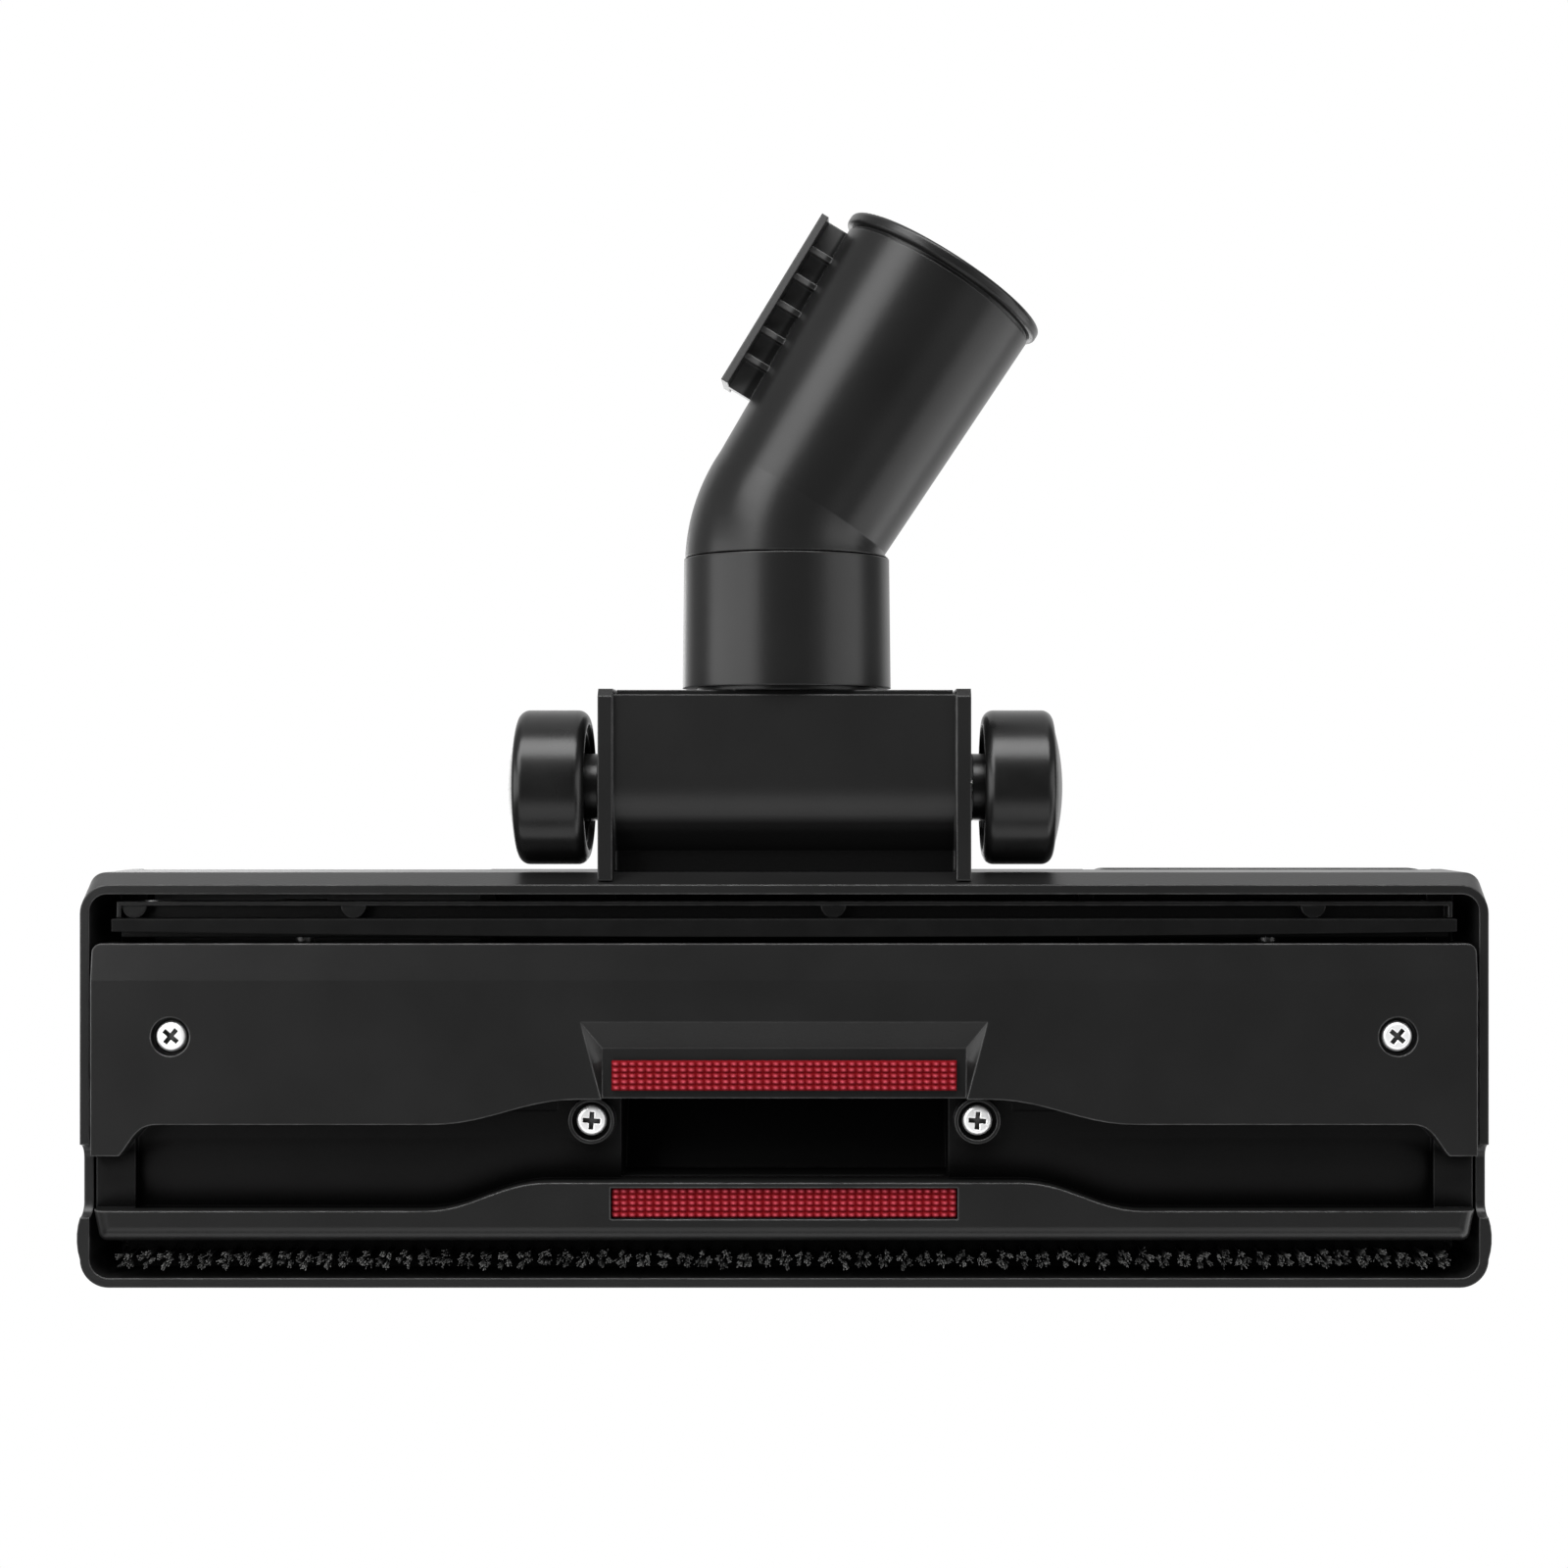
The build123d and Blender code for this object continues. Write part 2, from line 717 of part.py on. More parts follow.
# Neck housing: two cheeks, a saddle round the drum, a throat and a flange behind the rear wall
pivot = (pivot_y, pivot_z)
wheel_centre = (wheel_y, wheel_radius)
throat_low = duct_floor + throat_wall
throat_high = duct_top - throat_wall
saddle_end_angle = 180 - degrees(asin((duct_top - pivot_z) / saddle_inner)) - saddle_end_margin
throat_end = pivot_y - saddle_inner * cos(asin((pivot_z - duct_floor) / saddle_outer))
cheek_front = head_rear + cheek_neck
cheek_toe = cheek_front - rear_flare * (rim_lift + rear_flare_rise - housing_bottom) / rear_flare_rise
with BuildPart() as neck_housing:
    with BuildSketch(side_plane(cheek_inner)) as cheek:
        with BuildLine():
            Polyline(
                (flange_front, duct_floor),
                (cheek_front, duct_floor),
                (cheek_front, rim_lift + rear_flare_rise),
                (cheek_toe, housing_bottom),
                (housing_rear - cheek_rear_chamfer, housing_bottom),
                (housing_rear, housing_bottom + cheek_rear_chamfer),
                (housing_rear, cheek_tail_height),
                (cheek_top_rear, housing_top),
                (cheek_top_front, housing_top),
                (cheek_front, duct_top),
                (flange_front, duct_top),
                close=True,
            )
        make_face()
        fillet(cheek.vertices().group_by(Axis.Y)[-1], cheek_top_round)
        tail_corner = cheek.vertices().sort_by_distance((housing_rear, cheek_tail_height))[0]
        fillet(tail_corner, cheek_top_round)
    extrude(amount=cheek_thickness)
    with BuildSketch(side_plane(cheek_inner)):
        with Locations(pivot):
            Circle(trunnion_radius + trunnion_clearance)
    extrude(amount=cheek_thickness, mode=Mode.SUBTRACT)
    with BuildSketch(side_plane(cheek_inner)):
        with Locations(wheel_centre):
            Circle(axle_radius + press_gap)
    extrude(amount=wheel_inner, mode=Mode.SUBTRACT)
    mirror(about=Plane.YZ)
    # Saddle below and in front of the drum, running out into a flat floor
    with BuildSketch(Plane.YZ):
        with BuildLine():
            sweep_angle = 270 - saddle_end_angle
            outer_arc = CenterArc(pivot, saddle_outer, saddle_end_angle, sweep_angle)
            inner_arc = CenterArc(pivot, saddle_inner, saddle_end_angle, sweep_angle)
            Line(outer_arc @ 0, inner_arc @ 0)
            Line(outer_arc @ 1, inner_arc @ 1)
        make_face()
        with Locations(((pivot_y + housing_rear - floor_setback) / 2, housing_floor - saddle_wall / 2)):
            Rectangle(housing_rear - floor_setback - pivot_y, saddle_wall)
    extrude(amount=cheek_inner, both=True)
    # Throat walls and the flange that the cover traps
    with BuildSketch(Plane.YZ):
        for wall_low in (duct_floor, throat_high):
            with Locations(((flange_front + throat_end) / 2, wall_low + throat_wall / 2)):
                Rectangle(throat_end - flange_front, throat_wall)
    extrude(amount=cheek_inner, both=True)
    with BuildSketch(Plane.XZ.offset(-flange_front)):
        with Locations((0, (duct_floor + duct_top) / 2)):
            Rectangle(2 * (box_half + flange_lip), duct_top - duct_floor)
    extrude(amount=-flange_thickness)
    # Air way through flange and saddle, and room for the drum
    with BuildSketch(Plane.XZ.offset(-flange_front)):
        with Locations((0, (throat_low + throat_high) / 2)):
            Rectangle(2 * mouth_half, throat_high - throat_low)
    extrude(amount=flange_front - pivot_y, mode=Mode.SUBTRACT)
    with BuildSketch(Plane.YZ):
        with Locations(pivot):
            Circle(saddle_inner)
    extrude(amount=cheek_inner, both=True, mode=Mode.SUBTRACT)
    # Rest stop below the tail of the neck
    stop_height = pivot_z - tail_half_height - stop_gap - housing_floor
    with BuildSketch(Plane.XY.offset(housing_floor)):
        with Locations((0, housing_rear - floor_setback - stop_length)):
            Rectangle(stop_width, stop_length)
    extrude(amount=stop_height)
save(neck_housing, "neck_housing")

# Rubber wiper on the front edge of the saddle, against the drum
with BuildPart() as drum_wiper:
    with BuildSketch(Plane.YZ):
        with BuildLine():
            wiper_start = saddle_end_angle - wiper_span
            near_arc = CenterArc(pivot, drum_radius + wiper_gap, wiper_start, wiper_span)
            far_arc = CenterArc(pivot, drum_radius + wiper_gap + wiper_depth, wiper_start, wiper_span)
            Line(near_arc @ 0, far_arc @ 0)
            Line(near_arc @ 1, far_arc @ 1)
        make_face()
    extrude(amount=drum_half, both=True)
save(drum_wiper, "drum_wiper")

# Tilting neck: drum with trunnions, funnel and spigot, moulded in two halves
with BuildPart() as neck:
    with BuildSketch(Plane.YZ):
        with Locations(pivot):
            Circle(drum_radius)
        with Locations(((pivot_y + tail_rear) / 2, pivot_z)):
            Rectangle(tail_rear - pivot_y, 2 * tail_half_height)
    extrude(amount=drum_half, both=True)
    with BuildSketch(Plane.YZ):
        with Locations(pivot):
            Circle(trunnion_radius)
    extrude(amount=box_half - trunnion_end_gap, both=True)
    with BuildSketch(neck_plane(tail_rear)):
        Circle(spigot_radius)
    extrude(amount=spigot_length)
    with BuildSketch(neck_plane(tail_rear)):
        Circle(neck_bore)
    extrude(amount=spigot_length, mode=Mode.SUBTRACT)
    with BuildSketch(Plane.YZ):
        with Locations(pivot):
            Circle(drum_inner)
    extrude(amount=drum_half - drum_wall, both=True, mode=Mode.SUBTRACT)
    # Funnel from the wide drum to the round spigot
    funnel_height = 2 * (tail_half_height - tail_wall)
    with BuildSketch(neck_plane(pivot_y + funnel_start)):
        RectangleRounded(2 * (drum_half - drum_wall), funnel_height, funnel_corner)
    with BuildSketch(neck_plane(tail_rear)):
        RectangleRounded(funnel_width, funnel_height, funnel_end_corner)
    loft(ruled=True, mode=Mode.SUBTRACT)
    # Inlet of the drum, facing the throat of the housing
    with BuildSketch(Plane.XZ.offset(drum_radius - pivot_y)):
        with Locations((0, (throat_low + throat_high) / 2)):
            Rectangle(2 * (drum_half - drum_wall), throat_high - throat_low)
    extrude(amount=-drum_radius, mode=Mode.SUBTRACT)
for name, half in (("neck_lower_shell", Keep.BOTTOM), ("neck_upper_shell", Keep.TOP)):
    with BuildPart() as neck_shell:
        add(neck.part)
        split(bisect_by=Plane.XY.offset(pivot_z), keep=half)
    save(neck_shell, name)

# Swivel collar with the groove of its snap ring, the sealing ring and the snap ring
neck_end = tail_rear + spigot_length
swivel_start = neck_end + seal_thickness + 2 * seal_gap
ring_start = swivel_start + ring_setback
ring_outer = elbow_spigot + ring_proud
ring_inner = elbow_spigot - ring_seat
bend_start = collar_rear + seam_gap
with BuildPart() as swivel_collar:
    with BuildSketch(neck_plane(collar_front)):
        Circle(collar_base_radius)
    with BuildSketch(neck_plane(collar_rear)):
        Circle(collar_end_radius)
    loft()
    with BuildSketch(neck_plane(collar_front)):
        Circle(collar_bore)
    extrude(amount=collar_length, mode=Mode.SUBTRACT)
    with BuildSketch(neck_plane(ring_start - ring_gap)):
        Circle(ring_outer + ring_gap)
    extrude(amount=ring_width + 2 * ring_gap, mode=Mode.SUBTRACT)
save(swivel_collar, "swivel_collar")

with BuildPart() as swivel_seal:
    with BuildSketch(neck_plane(neck_end + seal_gap)):
        Circle(spigot_radius)
        Circle(neck_bore, mode=Mode.SUBTRACT)
    extrude(amount=seal_thickness)
save(swivel_seal, "swivel_seal")

with BuildPart() as swivel_retainer:
    with BuildSketch(neck_plane(ring_start)):
        Circle(ring_outer)
        Circle(ring_inner, mode=Mode.SUBTRACT)
        with Locations((ring_outer, 0)):
            Rectangle(2 * (ring_outer - ring_inner) + ring_split, ring_split, mode=Mode.SUBTRACT)
    extrude(amount=ring_width)
save(swivel_retainer, "swivel_retainer")

# Elbow: spigot, bend with a sharp inner side, wand socket with flange, and the parking rail
turn = radians(bend_angle)


def bend_plane(angle):
    """Plane square to the middle line of the bend, after the given turn."""
    return Plane(
        origin=(bend_radius * (cos(angle) - 1), bend_start + bend_radius * sin(angle), pivot_z),
        x_dir=(cos(angle), sin(angle), 0),
        z_dir=(-sin(angle), cos(angle), 0),
    )


leg_plane = bend_plane(turn)
bend_axis = Axis((-bend_radius, bend_start, pivot_z), (0, 0, 1))
flange_start = leg_length - flange_width
rail_start = flange_start - rail_flange_gap - rail_length
rail_foot = leg_start_radius - rail_root
rail_turn = turn - radians(rail_lean)
rail_plane = Plane(
    origin=leg_plane.offset(rail_start).origin,
    x_dir=(cos(rail_turn), sin(rail_turn), 0),
    z_dir=(-sin(rail_turn), cos(rail_turn), 0),
)
with BuildPart() as elbow_tube:
    with BuildSketch(neck_plane(swivel_start)):
        Circle(elbow_spigot)
    extrude(amount=bend_start - swivel_start)
    # Bend that narrows to the leg, and the leg that widens to the flange
    for index in range(bend_section_count):
        share = index / (bend_section_count - 1)
        with BuildSketch(bend_plane(share * turn)):
            Circle(tube_radius + share * (leg_start_radius - tube_radius))
    loft()
    with BuildSketch(leg_plane):
        Circle(leg_start_radius)
    with BuildSketch(leg_plane.offset(flange_start)):
        Circle(leg_end_radius)
    loft(ruled=True)
    with BuildSketch(leg_plane.offset(flange_start)):
        Circle(flange_radius)
    extrude(amount=flange_width)
    flange_edges = elbow_tube.edges().filter_by(GeomType.CIRCLE)
    fillet(flange_edges.filter_by(lambda edge: edge.radius > leg_end_radius + press_gap), flange_round)
    # Parking rail: web, cross ribs and outer plate along the outside of the bend
    with BuildSketch(rail_plane):
        with Locations(((rail_foot + rail_reach) / 2, 0)):
            Rectangle(rail_reach - rail_foot, rail_web)
        with Locations((rail_reach - rail_plate / 2, 0)):
            Rectangle(rail_plate, rail_plate_width)
    extrude(amount=rail_length)
    rib_span = rail_rib_pitch * (rail_rib_count - 1)
    for index in range(rail_rib_count):
        rib_start = (rail_length - rib_span - rail_rib) / 2 + index * rail_rib_pitch
        with BuildSketch(rail_plane.offset(rib_start)):
            with Locations(((rail_foot + rail_reach) / 2, 0)):
                Rectangle(rail_reach - rail_foot, rail_rib_width)
        extrude(amount=rail_rib)
    # Groove below the flange
    with BuildSketch(leg_plane.offset(flange_start - flange_groove)):
        Circle(flange_radius)
        Circle(leg_end_radius - flange_groove, mode=Mode.SUBTRACT)
    extrude(amount=flange_groove, mode=Mode.SUBTRACT)
    # Air way and wand socket
    with BuildSketch(neck_plane(swivel_start)):
        Circle(elbow_bore)
    extrude(amount=bend_start - swivel_start, mode=Mode.SUBTRACT)
    with BuildSketch(neck_plane(bend_start)):
        Circle(elbow_bore)
    revolve(axis=bend_axis, revolution_arc=bend_angle, mode=Mode.SUBTRACT)
    with BuildSketch(leg_plane):
        Circle(elbow_bore)
    extrude(amount=leg_length, mode=Mode.SUBTRACT)
    with BuildSketch(leg_plane.offset(leg_length - socket_depth)):
        Circle(socket_radius)
    extrude(amount=socket_depth, mode=Mode.SUBTRACT)
    # Groove of the snap ring
    with BuildSketch(neck_plane(ring_start - press_gap)):
        Circle(elbow_spigot)
        Circle(ring_inner - press_gap, mode=Mode.SUBTRACT)
    extrude(amount=ring_width + 2 * press_gap, mode=Mode.SUBTRACT)
save(elbow_tube, "elbow_tube")

# Wheels: spoked hub, soft tyre and domed cap on the left, mirrored to the right
wheel_plane = Plane(origin=(0, wheel_y, wheel_radius), x_dir=(1, 0, 0), z_dir=(0, 0, 1))
wheel_axis = Axis((0, wheel_y, wheel_radius), (1, 0, 0))
tyre_seat = wheel_radius - tyre_thickness
rim_outer = tyre_seat - press_gap
rim_inner = rim_outer - rim_thickness
web_outer = wheel_outer - cap_lip
web_inner = web_outer - hub_web
head_seat = web_outer - axle_head_height - 2 * hub_fit


def ring_section(start, end, inner, outer):
    """Rectangle of a turned ring, from start to end along the axle and inner to outer radius."""
    with Locations(((start + end) / 2, (inner + outer) / 2)):
        Rectangle(end - start, outer - inner)


with BuildPart() as left_wheel_hub:
    with BuildSketch(wheel_plane):
        ring_section(box_half + hub_end_gap, web_outer, axle_radius + hub_fit, hub_boss_radius)
        ring_section(web_inner, web_outer, hub_boss_radius, rim_inner)
        ring_section(wheel_inner + spoke_setback / 2, wheel_outer, rim_inner, rim_outer)
    revolve(axis=wheel_axis)
    with BuildSketch(wheel_plane):
        ring_section(head_seat, web_outer, 0, axle_head_radius + 2 * hub_fit)
    revolve(axis=wheel_axis, mode=Mode.SUBTRACT)
    with BuildSketch(side_plane(wheel_inner + spoke_setback)):
        with Locations(wheel_centre):
            with PolarLocations((hub_boss_radius + rim_inner) / 2, spoke_count):
                Rectangle(rim_inner - hub_boss_radius + rim_thickness, spoke_thickness)
    extrude(amount=web_inner - wheel_inner - spoke_setback)
save(left_wheel_hub, "left_wheel_hub")

with BuildPart() as left_wheel_tyre:
    with BuildSketch(wheel_plane) as tyre_section:
        ring_section(wheel_inner, wheel_outer, tyre_seat, wheel_radius)
        fillet(tyre_section.vertices().group_by(Axis.Y)[-1], tyre_shoulder)
    revolve(axis=wheel_axis)
save(left_wheel_tyre, "left_wheel_tyre")

with BuildPart() as left_hub_cap:
    with BuildSketch(wheel_plane):
        with BuildLine():
            Polyline(
                (wheel_outer + cap_rise, 0),
                (web_outer + press_gap, 0),
                (web_outer + press_gap, rim_inner - hub_fit),
                (wheel_outer + press_gap, rim_inner - hub_fit),
                (wheel_outer + press_gap, rim_outer),
            )
            TangentArc((wheel_outer + cap_rise, 0), (wheel_outer + press_gap, rim_outer), tangent=(0, 1))
        make_face()
    revolve(axis=wheel_axis)
save(left_hub_cap, "left_hub_cap")

mirrored_pieces = (
    ("right_wheel_hub", left_wheel_hub),
    ("right_wheel_tyre", left_wheel_tyre),
    ("right_hub_cap", left_hub_cap),
)
for name, original in mirrored_pieces:
    with BuildPart() as mirrored:
        mirror(original.part, about=Plane.YZ)
    save(mirrored, name)

# Wheel axles: headed steel pins pressed into the cheeks
with BuildPart() as wheel_axles:
    axle_start = cheek_inner + axle_end_gap
    with BuildSketch(side_plane(axle_start)):
        with Locations(wheel_centre):
            Circle(axle_radius)
    extrude(amount=web_outer - hub_fit - axle_start)
    with BuildSketch(side_plane(head_seat + hub_fit)):
        with Locations(wheel_centre):
            Circle(axle_head_radius)
    extrude(amount=axle_head_height)
    mirror(about=Plane.YZ)
save(wheel_axles, "wheel_axles")


def make_pedal(side, lift):
    """Rocking pedal on the given side, with its rear edge raised by an angle."""
    rise = radians(lift)
    top_plane = Plane(
        origin=(0, pedal_pivot_y, pedal_pivot_z),
        x_dir=(1, 0, 0),
        z_dir=(0, -sin(rise), cos(rise)),
    )
    section_x = min(side * pedal_inner, side * pedal_barrel_end)
    section_plane = Plane(
        origin=(section_x, pedal_pivot_y, pedal_pivot_z),
        x_dir=(0, cos(rise), sin(rise)),
        z_dir=(1, 0, 0),
    )
    arm_plane = section_plane.offset(side * arm_x - arm_width / 2 - section_x)
    plate_front = -pedal_front - pedal_pivot_y
    plate_back = pedal_rear - pedal_pivot_y
    plate_top = head_height - pedal_pivot_z
    plate_x = side * (pedal_inner + pedal_outer) / 2
    nose_z = rod_z - pedal_pivot_z
    arm_end = bar_y + bar_thickness / 2 + guide_gap + guide_thickness - pedal_pivot_y
    pin_end = bar_y - bar_thickness / 2 - guide_gap - pedal_pivot_y
    with BuildPart() as pedal:
        with BuildSketch(top_plane.offset(plate_top - pedal_skirt)) as plate:
            with Locations((plate_x, (plate_front + plate_back) / 2)):
                Rectangle(pedal_outer - pedal_inner, plate_back - plate_front)
            fillet(plate.vertices().group_by(Axis.Y)[-1], pedal_corner)
        extrude(amount=pedal_skirt)
        with BuildSketch(top_plane.offset(plate_top - pedal_skirt)):
            with Locations((plate_x, (plate_front + plate_back) / 2 - pedal_skirt_wall)):
                Rectangle(pedal_outer - pedal_inner, plate_back - plate_front)
        extrude(amount=pedal_skirt - pedal_thickness, mode=Mode.SUBTRACT)
        # Hinge barrel and the web that carries the plate
        with BuildSketch(section_plane):
            Circle(pedal_barrel)
            with BuildLine():
                web_top = plate_top - pedal_thickness
                Polyline(
                    (0, pedal_barrel),
                    (pedal_barrel, pedal_barrel),
                    (plate_front + pedal_front, web_top),
                    (plate_front + pedal_barrel + pedal_thickness, web_top),
                    (pedal_barrel, 0),
                    close=True,
                )
            make_face()
        extrude(amount=pedal_barrel_end - pedal_inner)
        # Arm that reaches forward to the slide bar, with its nose pin
        with BuildSketch(arm_plane):
            with BuildLine():
                Polyline(
                    (0, pedal_barrel),
                    (arm_end, nose_z + arm_depth / 2),
                    (arm_end, nose_z - arm_depth / 2),
                    (0, -pedal_barrel),
                    close=True,
                )
            make_face()
        extrude(amount=arm_width)
        with BuildSketch(section_plane):
            Circle(pin_radius + pin_running)
        extrude(amount=pedal_barrel_end - pedal_inner, mode=Mode.SUBTRACT)
        nose_origin = top_plane.from_local_coords(Vector(side * arm_x, arm_end, nose_z))
        nose_plane = Plane(origin=nose_origin, x_dir=(1, 0, 0), z_dir=(0, -cos(rise), -sin(rise)))
        with BuildSketch(nose_plane):
            Circle(nose_pin_radius)
        extrude(amount=arm_end - pin_end)
    return pedal


# Pedals: the left one stands raised and the right one lies flush while the brush is drawn in
for name, side, lift in (("left_pedal", 1, pedal_angle), ("right_pedal", -1, 0)):
    save(make_pedal(side, lift), name)

with BuildPart() as pedal_pins:
    pin_start = ear_x[0] - ear_thickness / 2
    pin_stop = ear_x[1] + ear_thickness / 2
    with BuildSketch(side_plane(pin_start)):
        with Locations((pedal_pivot_y, pedal_pivot_z)):
            Circle(pin_radius)
    extrude(amount=pin_stop - pin_start)
    mirror(about=Plane.YZ)
save(pedal_pins, "pedal_pins")

# Slide bar: its inclined slots turn the rocking of the pedals into the drop of the brush
slot_run = shift * sqrt(2)
slot_z = (low_z + rod_z) / 2
with BuildPart() as slide_bar:
    with BuildSketch(Plane.XZ.offset(-bar_y - bar_thickness / 2)):
        with Locations((shift / 2, bar_bottom + bar_height / 2)):
            Rectangle(2 * (rod_x + bar_end) + shift, bar_height)
        with Locations((arm_x + shift / 2, slot_z)):
            nose_slot = 2 * (nose_pin_radius + slot_clearance)
            SlotCenterToCenter(slot_run, nose_slot, rotation=45, mode=Mode.SUBTRACT)
        with Locations((-arm_x + shift / 2, slot_z)):
            SlotCenterToCenter(slot_run, nose_slot, rotation=-45, mode=Mode.SUBTRACT)
        with Locations((rod_x + shift / 2, slot_z), (-rod_x + shift / 2, slot_z)):
            rod_slot = 2 * (rod_radius + rod_slot_clearance)
            SlotCenterToCenter(slot_run, rod_slot, rotation=-45, mode=Mode.SUBTRACT)
    extrude(amount=bar_thickness)
save(slide_bar, "slide_bar")

# Front brush carrier with rod sockets, and its row of tufts
carrier_front = -(head_front - cover_wall - carrier_gap)
carrier_rear = -(plate_front + carrier_gap)
carrier_y = (carrier_front + carrier_rear) / 2
carrier_top = rod_z + rod_radius + rod_cover
rod_places = ((rod_x, rod_z), (-rod_x, rod_z))
with BuildPart() as front_brush_carrier:
    with BuildSketch(Plane.YZ) as carrier_section:
        with Locations((carrier_y, (carrier_bottom + carrier_top) / 2)):
            Rectangle(carrier_rear - carrier_front, carrier_top - carrier_bottom)
        front_top = carrier_section.vertices().sort_by_distance((carrier_front, carrier_top))[0]
        chamfer(front_top, carrier_chamfer)
    extrude(amount=carrier_half_length, both=True)
    with BuildSketch(Plane.XZ.offset(-carrier_rear)):
        with Locations(*rod_places):
            Circle(rod_radius + press_gap)
    extrude(amount=rod_socket, mode=Mode.SUBTRACT)
save(front_brush_carrier, "front_brush_carrier")

with BuildPart() as front_bristles:
    with BuildSketch(Plane.XY.offset(tuft_end)):
        with Locations((0, carrier_y)):
            with GridLocations(tuft_pitch, tuft_pitch, tuft_count, 1):
                RegularPolygon(tuft_radius, 6)
    extrude(amount=carrier_bottom - tuft_end)
save(front_bristles, "front_bristles")

# Link rods from the brush carrier through the slide bar to the lip holder
with BuildPart() as link_rods:
    rod_front = carrier_rear - rod_socket
    with BuildSketch(Plane.XZ.offset(-rod_front)):
        with Locations(*rod_places):
            Circle(rod_radius)
    extrude(amount=rod_front - holder_front - rod_socket)
save(link_rods, "link_rods")


# Rear lip holder: channel with half-round bumps, bosses for the rods and the groove of the lip
bump_places = [holder_bump_middle + step * holder_bump_pitch for step in (-1, 0, 1)]
bump_places.append(holder_half - holder_bump_inset)
holder_y = (holder_front + holder_rear) / 2
holder_width = holder_rear - holder_front
lip_top = holder_top - holder_plate
with BuildPart() as rear_lip_holder:
    with BuildSketch(Plane.XY.offset(lip_top)):
        with Locations((0, holder_y)):
            Rectangle(2 * holder_half, holder_width)
    extrude(amount=holder_plate)
    # Rear wall and end walls
    wall_front = lip_rear + lip_gap
    with BuildSketch(Plane.XY.offset(holder_bottom)):
        with Locations((0, (wall_front + holder_rear) / 2)):
            Rectangle(2 * holder_half, holder_rear - wall_front)
        with Locations((0, (wall_front + holder_rear) / 2 - holder_wall)):
            Rectangle(2 * (holder_half - holder_wall), holder_rear - wall_front, mode=Mode.SUBTRACT)
    extrude(amount=lip_top - holder_bottom)
    with BuildSketch(Plane.XY.offset(holder_bottom + holder_bump_lift)):
        with Locations(*((x, holder_rear - holder_wall) for x in bump_places)):
            Circle(holder_bump_radius)
        with Locations((0, holder_rear + holder_bump_radius)):
            Rectangle(2 * holder_half, 2 * holder_bump_radius, mode=Mode.SUBTRACT)
    extrude(amount=lip_top - holder_bottom - holder_bump_lift)
    with BuildSketch(Plane.XY.offset(holder_top)):
        with Locations((rod_x, holder_y), (-rod_x, holder_y)):
            Rectangle(holder_boss_width, holder_width)
    extrude(amount=carrier_top - holder_top)
    with BuildSketch(Plane.XZ.offset(-holder_front)):
        with Locations(*rod_places):
            Circle(rod_radius + press_gap)
    extrude(amount=-rod_socket, mode=Mode.SUBTRACT)
    with BuildSketch(Plane.XY.offset(lip_top)):
        with Locations((0, (lip_front + lip_rear) / 2)):
            Rectangle(2 * (holder_half - holder_wall), tongue_width + 2 * tongue_gap)
    extrude(amount=tongue_height + tongue_gap, mode=Mode.SUBTRACT)
save(rear_lip_holder, "rear_lip_holder")

# Rear lip: rubber strip with a bowed front edge, held by a tongue
with BuildPart() as rear_lip:
    with BuildSketch(Plane.XY.offset(lip_end)):
        with BuildLine():
            Polyline(
                (holder_half, lip_front),
                (holder_half, lip_rear),
                (-holder_half, lip_rear),
                (-holder_half, lip_front),
            )
            ThreePointArc((-holder_half, lip_front), (0, lip_front - lip_bow), (holder_half, lip_front))
        make_face()
    extrude(amount=lip_top - lip_end)
    with BuildSketch(Plane.XY.offset(lip_top)):
        with Locations((0, (lip_front + lip_rear) / 2)):
            Rectangle(2 * (holder_half - holder_wall - tongue_gap), tongue_width)
    extrude(amount=tongue_height)
save(rear_lip, "rear_lip")
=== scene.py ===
import json
import math
import random

import bmesh
import bpy
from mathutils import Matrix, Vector


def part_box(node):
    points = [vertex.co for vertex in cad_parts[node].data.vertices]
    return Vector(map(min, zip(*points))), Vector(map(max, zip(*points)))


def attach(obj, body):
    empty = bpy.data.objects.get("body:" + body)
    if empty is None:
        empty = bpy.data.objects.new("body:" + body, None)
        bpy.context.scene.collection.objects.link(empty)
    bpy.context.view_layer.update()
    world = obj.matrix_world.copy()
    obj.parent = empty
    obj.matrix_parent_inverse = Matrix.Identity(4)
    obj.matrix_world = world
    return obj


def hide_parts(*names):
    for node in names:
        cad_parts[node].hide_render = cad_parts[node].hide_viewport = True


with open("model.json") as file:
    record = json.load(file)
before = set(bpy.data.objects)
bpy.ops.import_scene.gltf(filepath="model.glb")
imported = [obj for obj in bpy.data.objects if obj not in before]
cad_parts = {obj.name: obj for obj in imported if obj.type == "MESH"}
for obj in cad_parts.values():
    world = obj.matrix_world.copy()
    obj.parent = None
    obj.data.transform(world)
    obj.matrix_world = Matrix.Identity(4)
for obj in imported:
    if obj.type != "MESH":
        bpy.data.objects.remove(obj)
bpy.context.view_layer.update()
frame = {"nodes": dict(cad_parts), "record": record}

MM = 0.001
nodes = frame["nodes"]
scene = bpy.context.scene

# Camera: straight view of the underside, image up = +Y, image right = -X
PHOTO_PIXELS = 1600
SOLE_MM_PER_PIXEL = 0.187
SOLE_ORIGIN_ROW = 1020
CAMERA_DISTANCE_PIXELS = 2500
# The photo's own column is about 950; this smaller shift lets other views hold the whole head
VANISHING_COLUMN = 860
SENSOR = 36.0


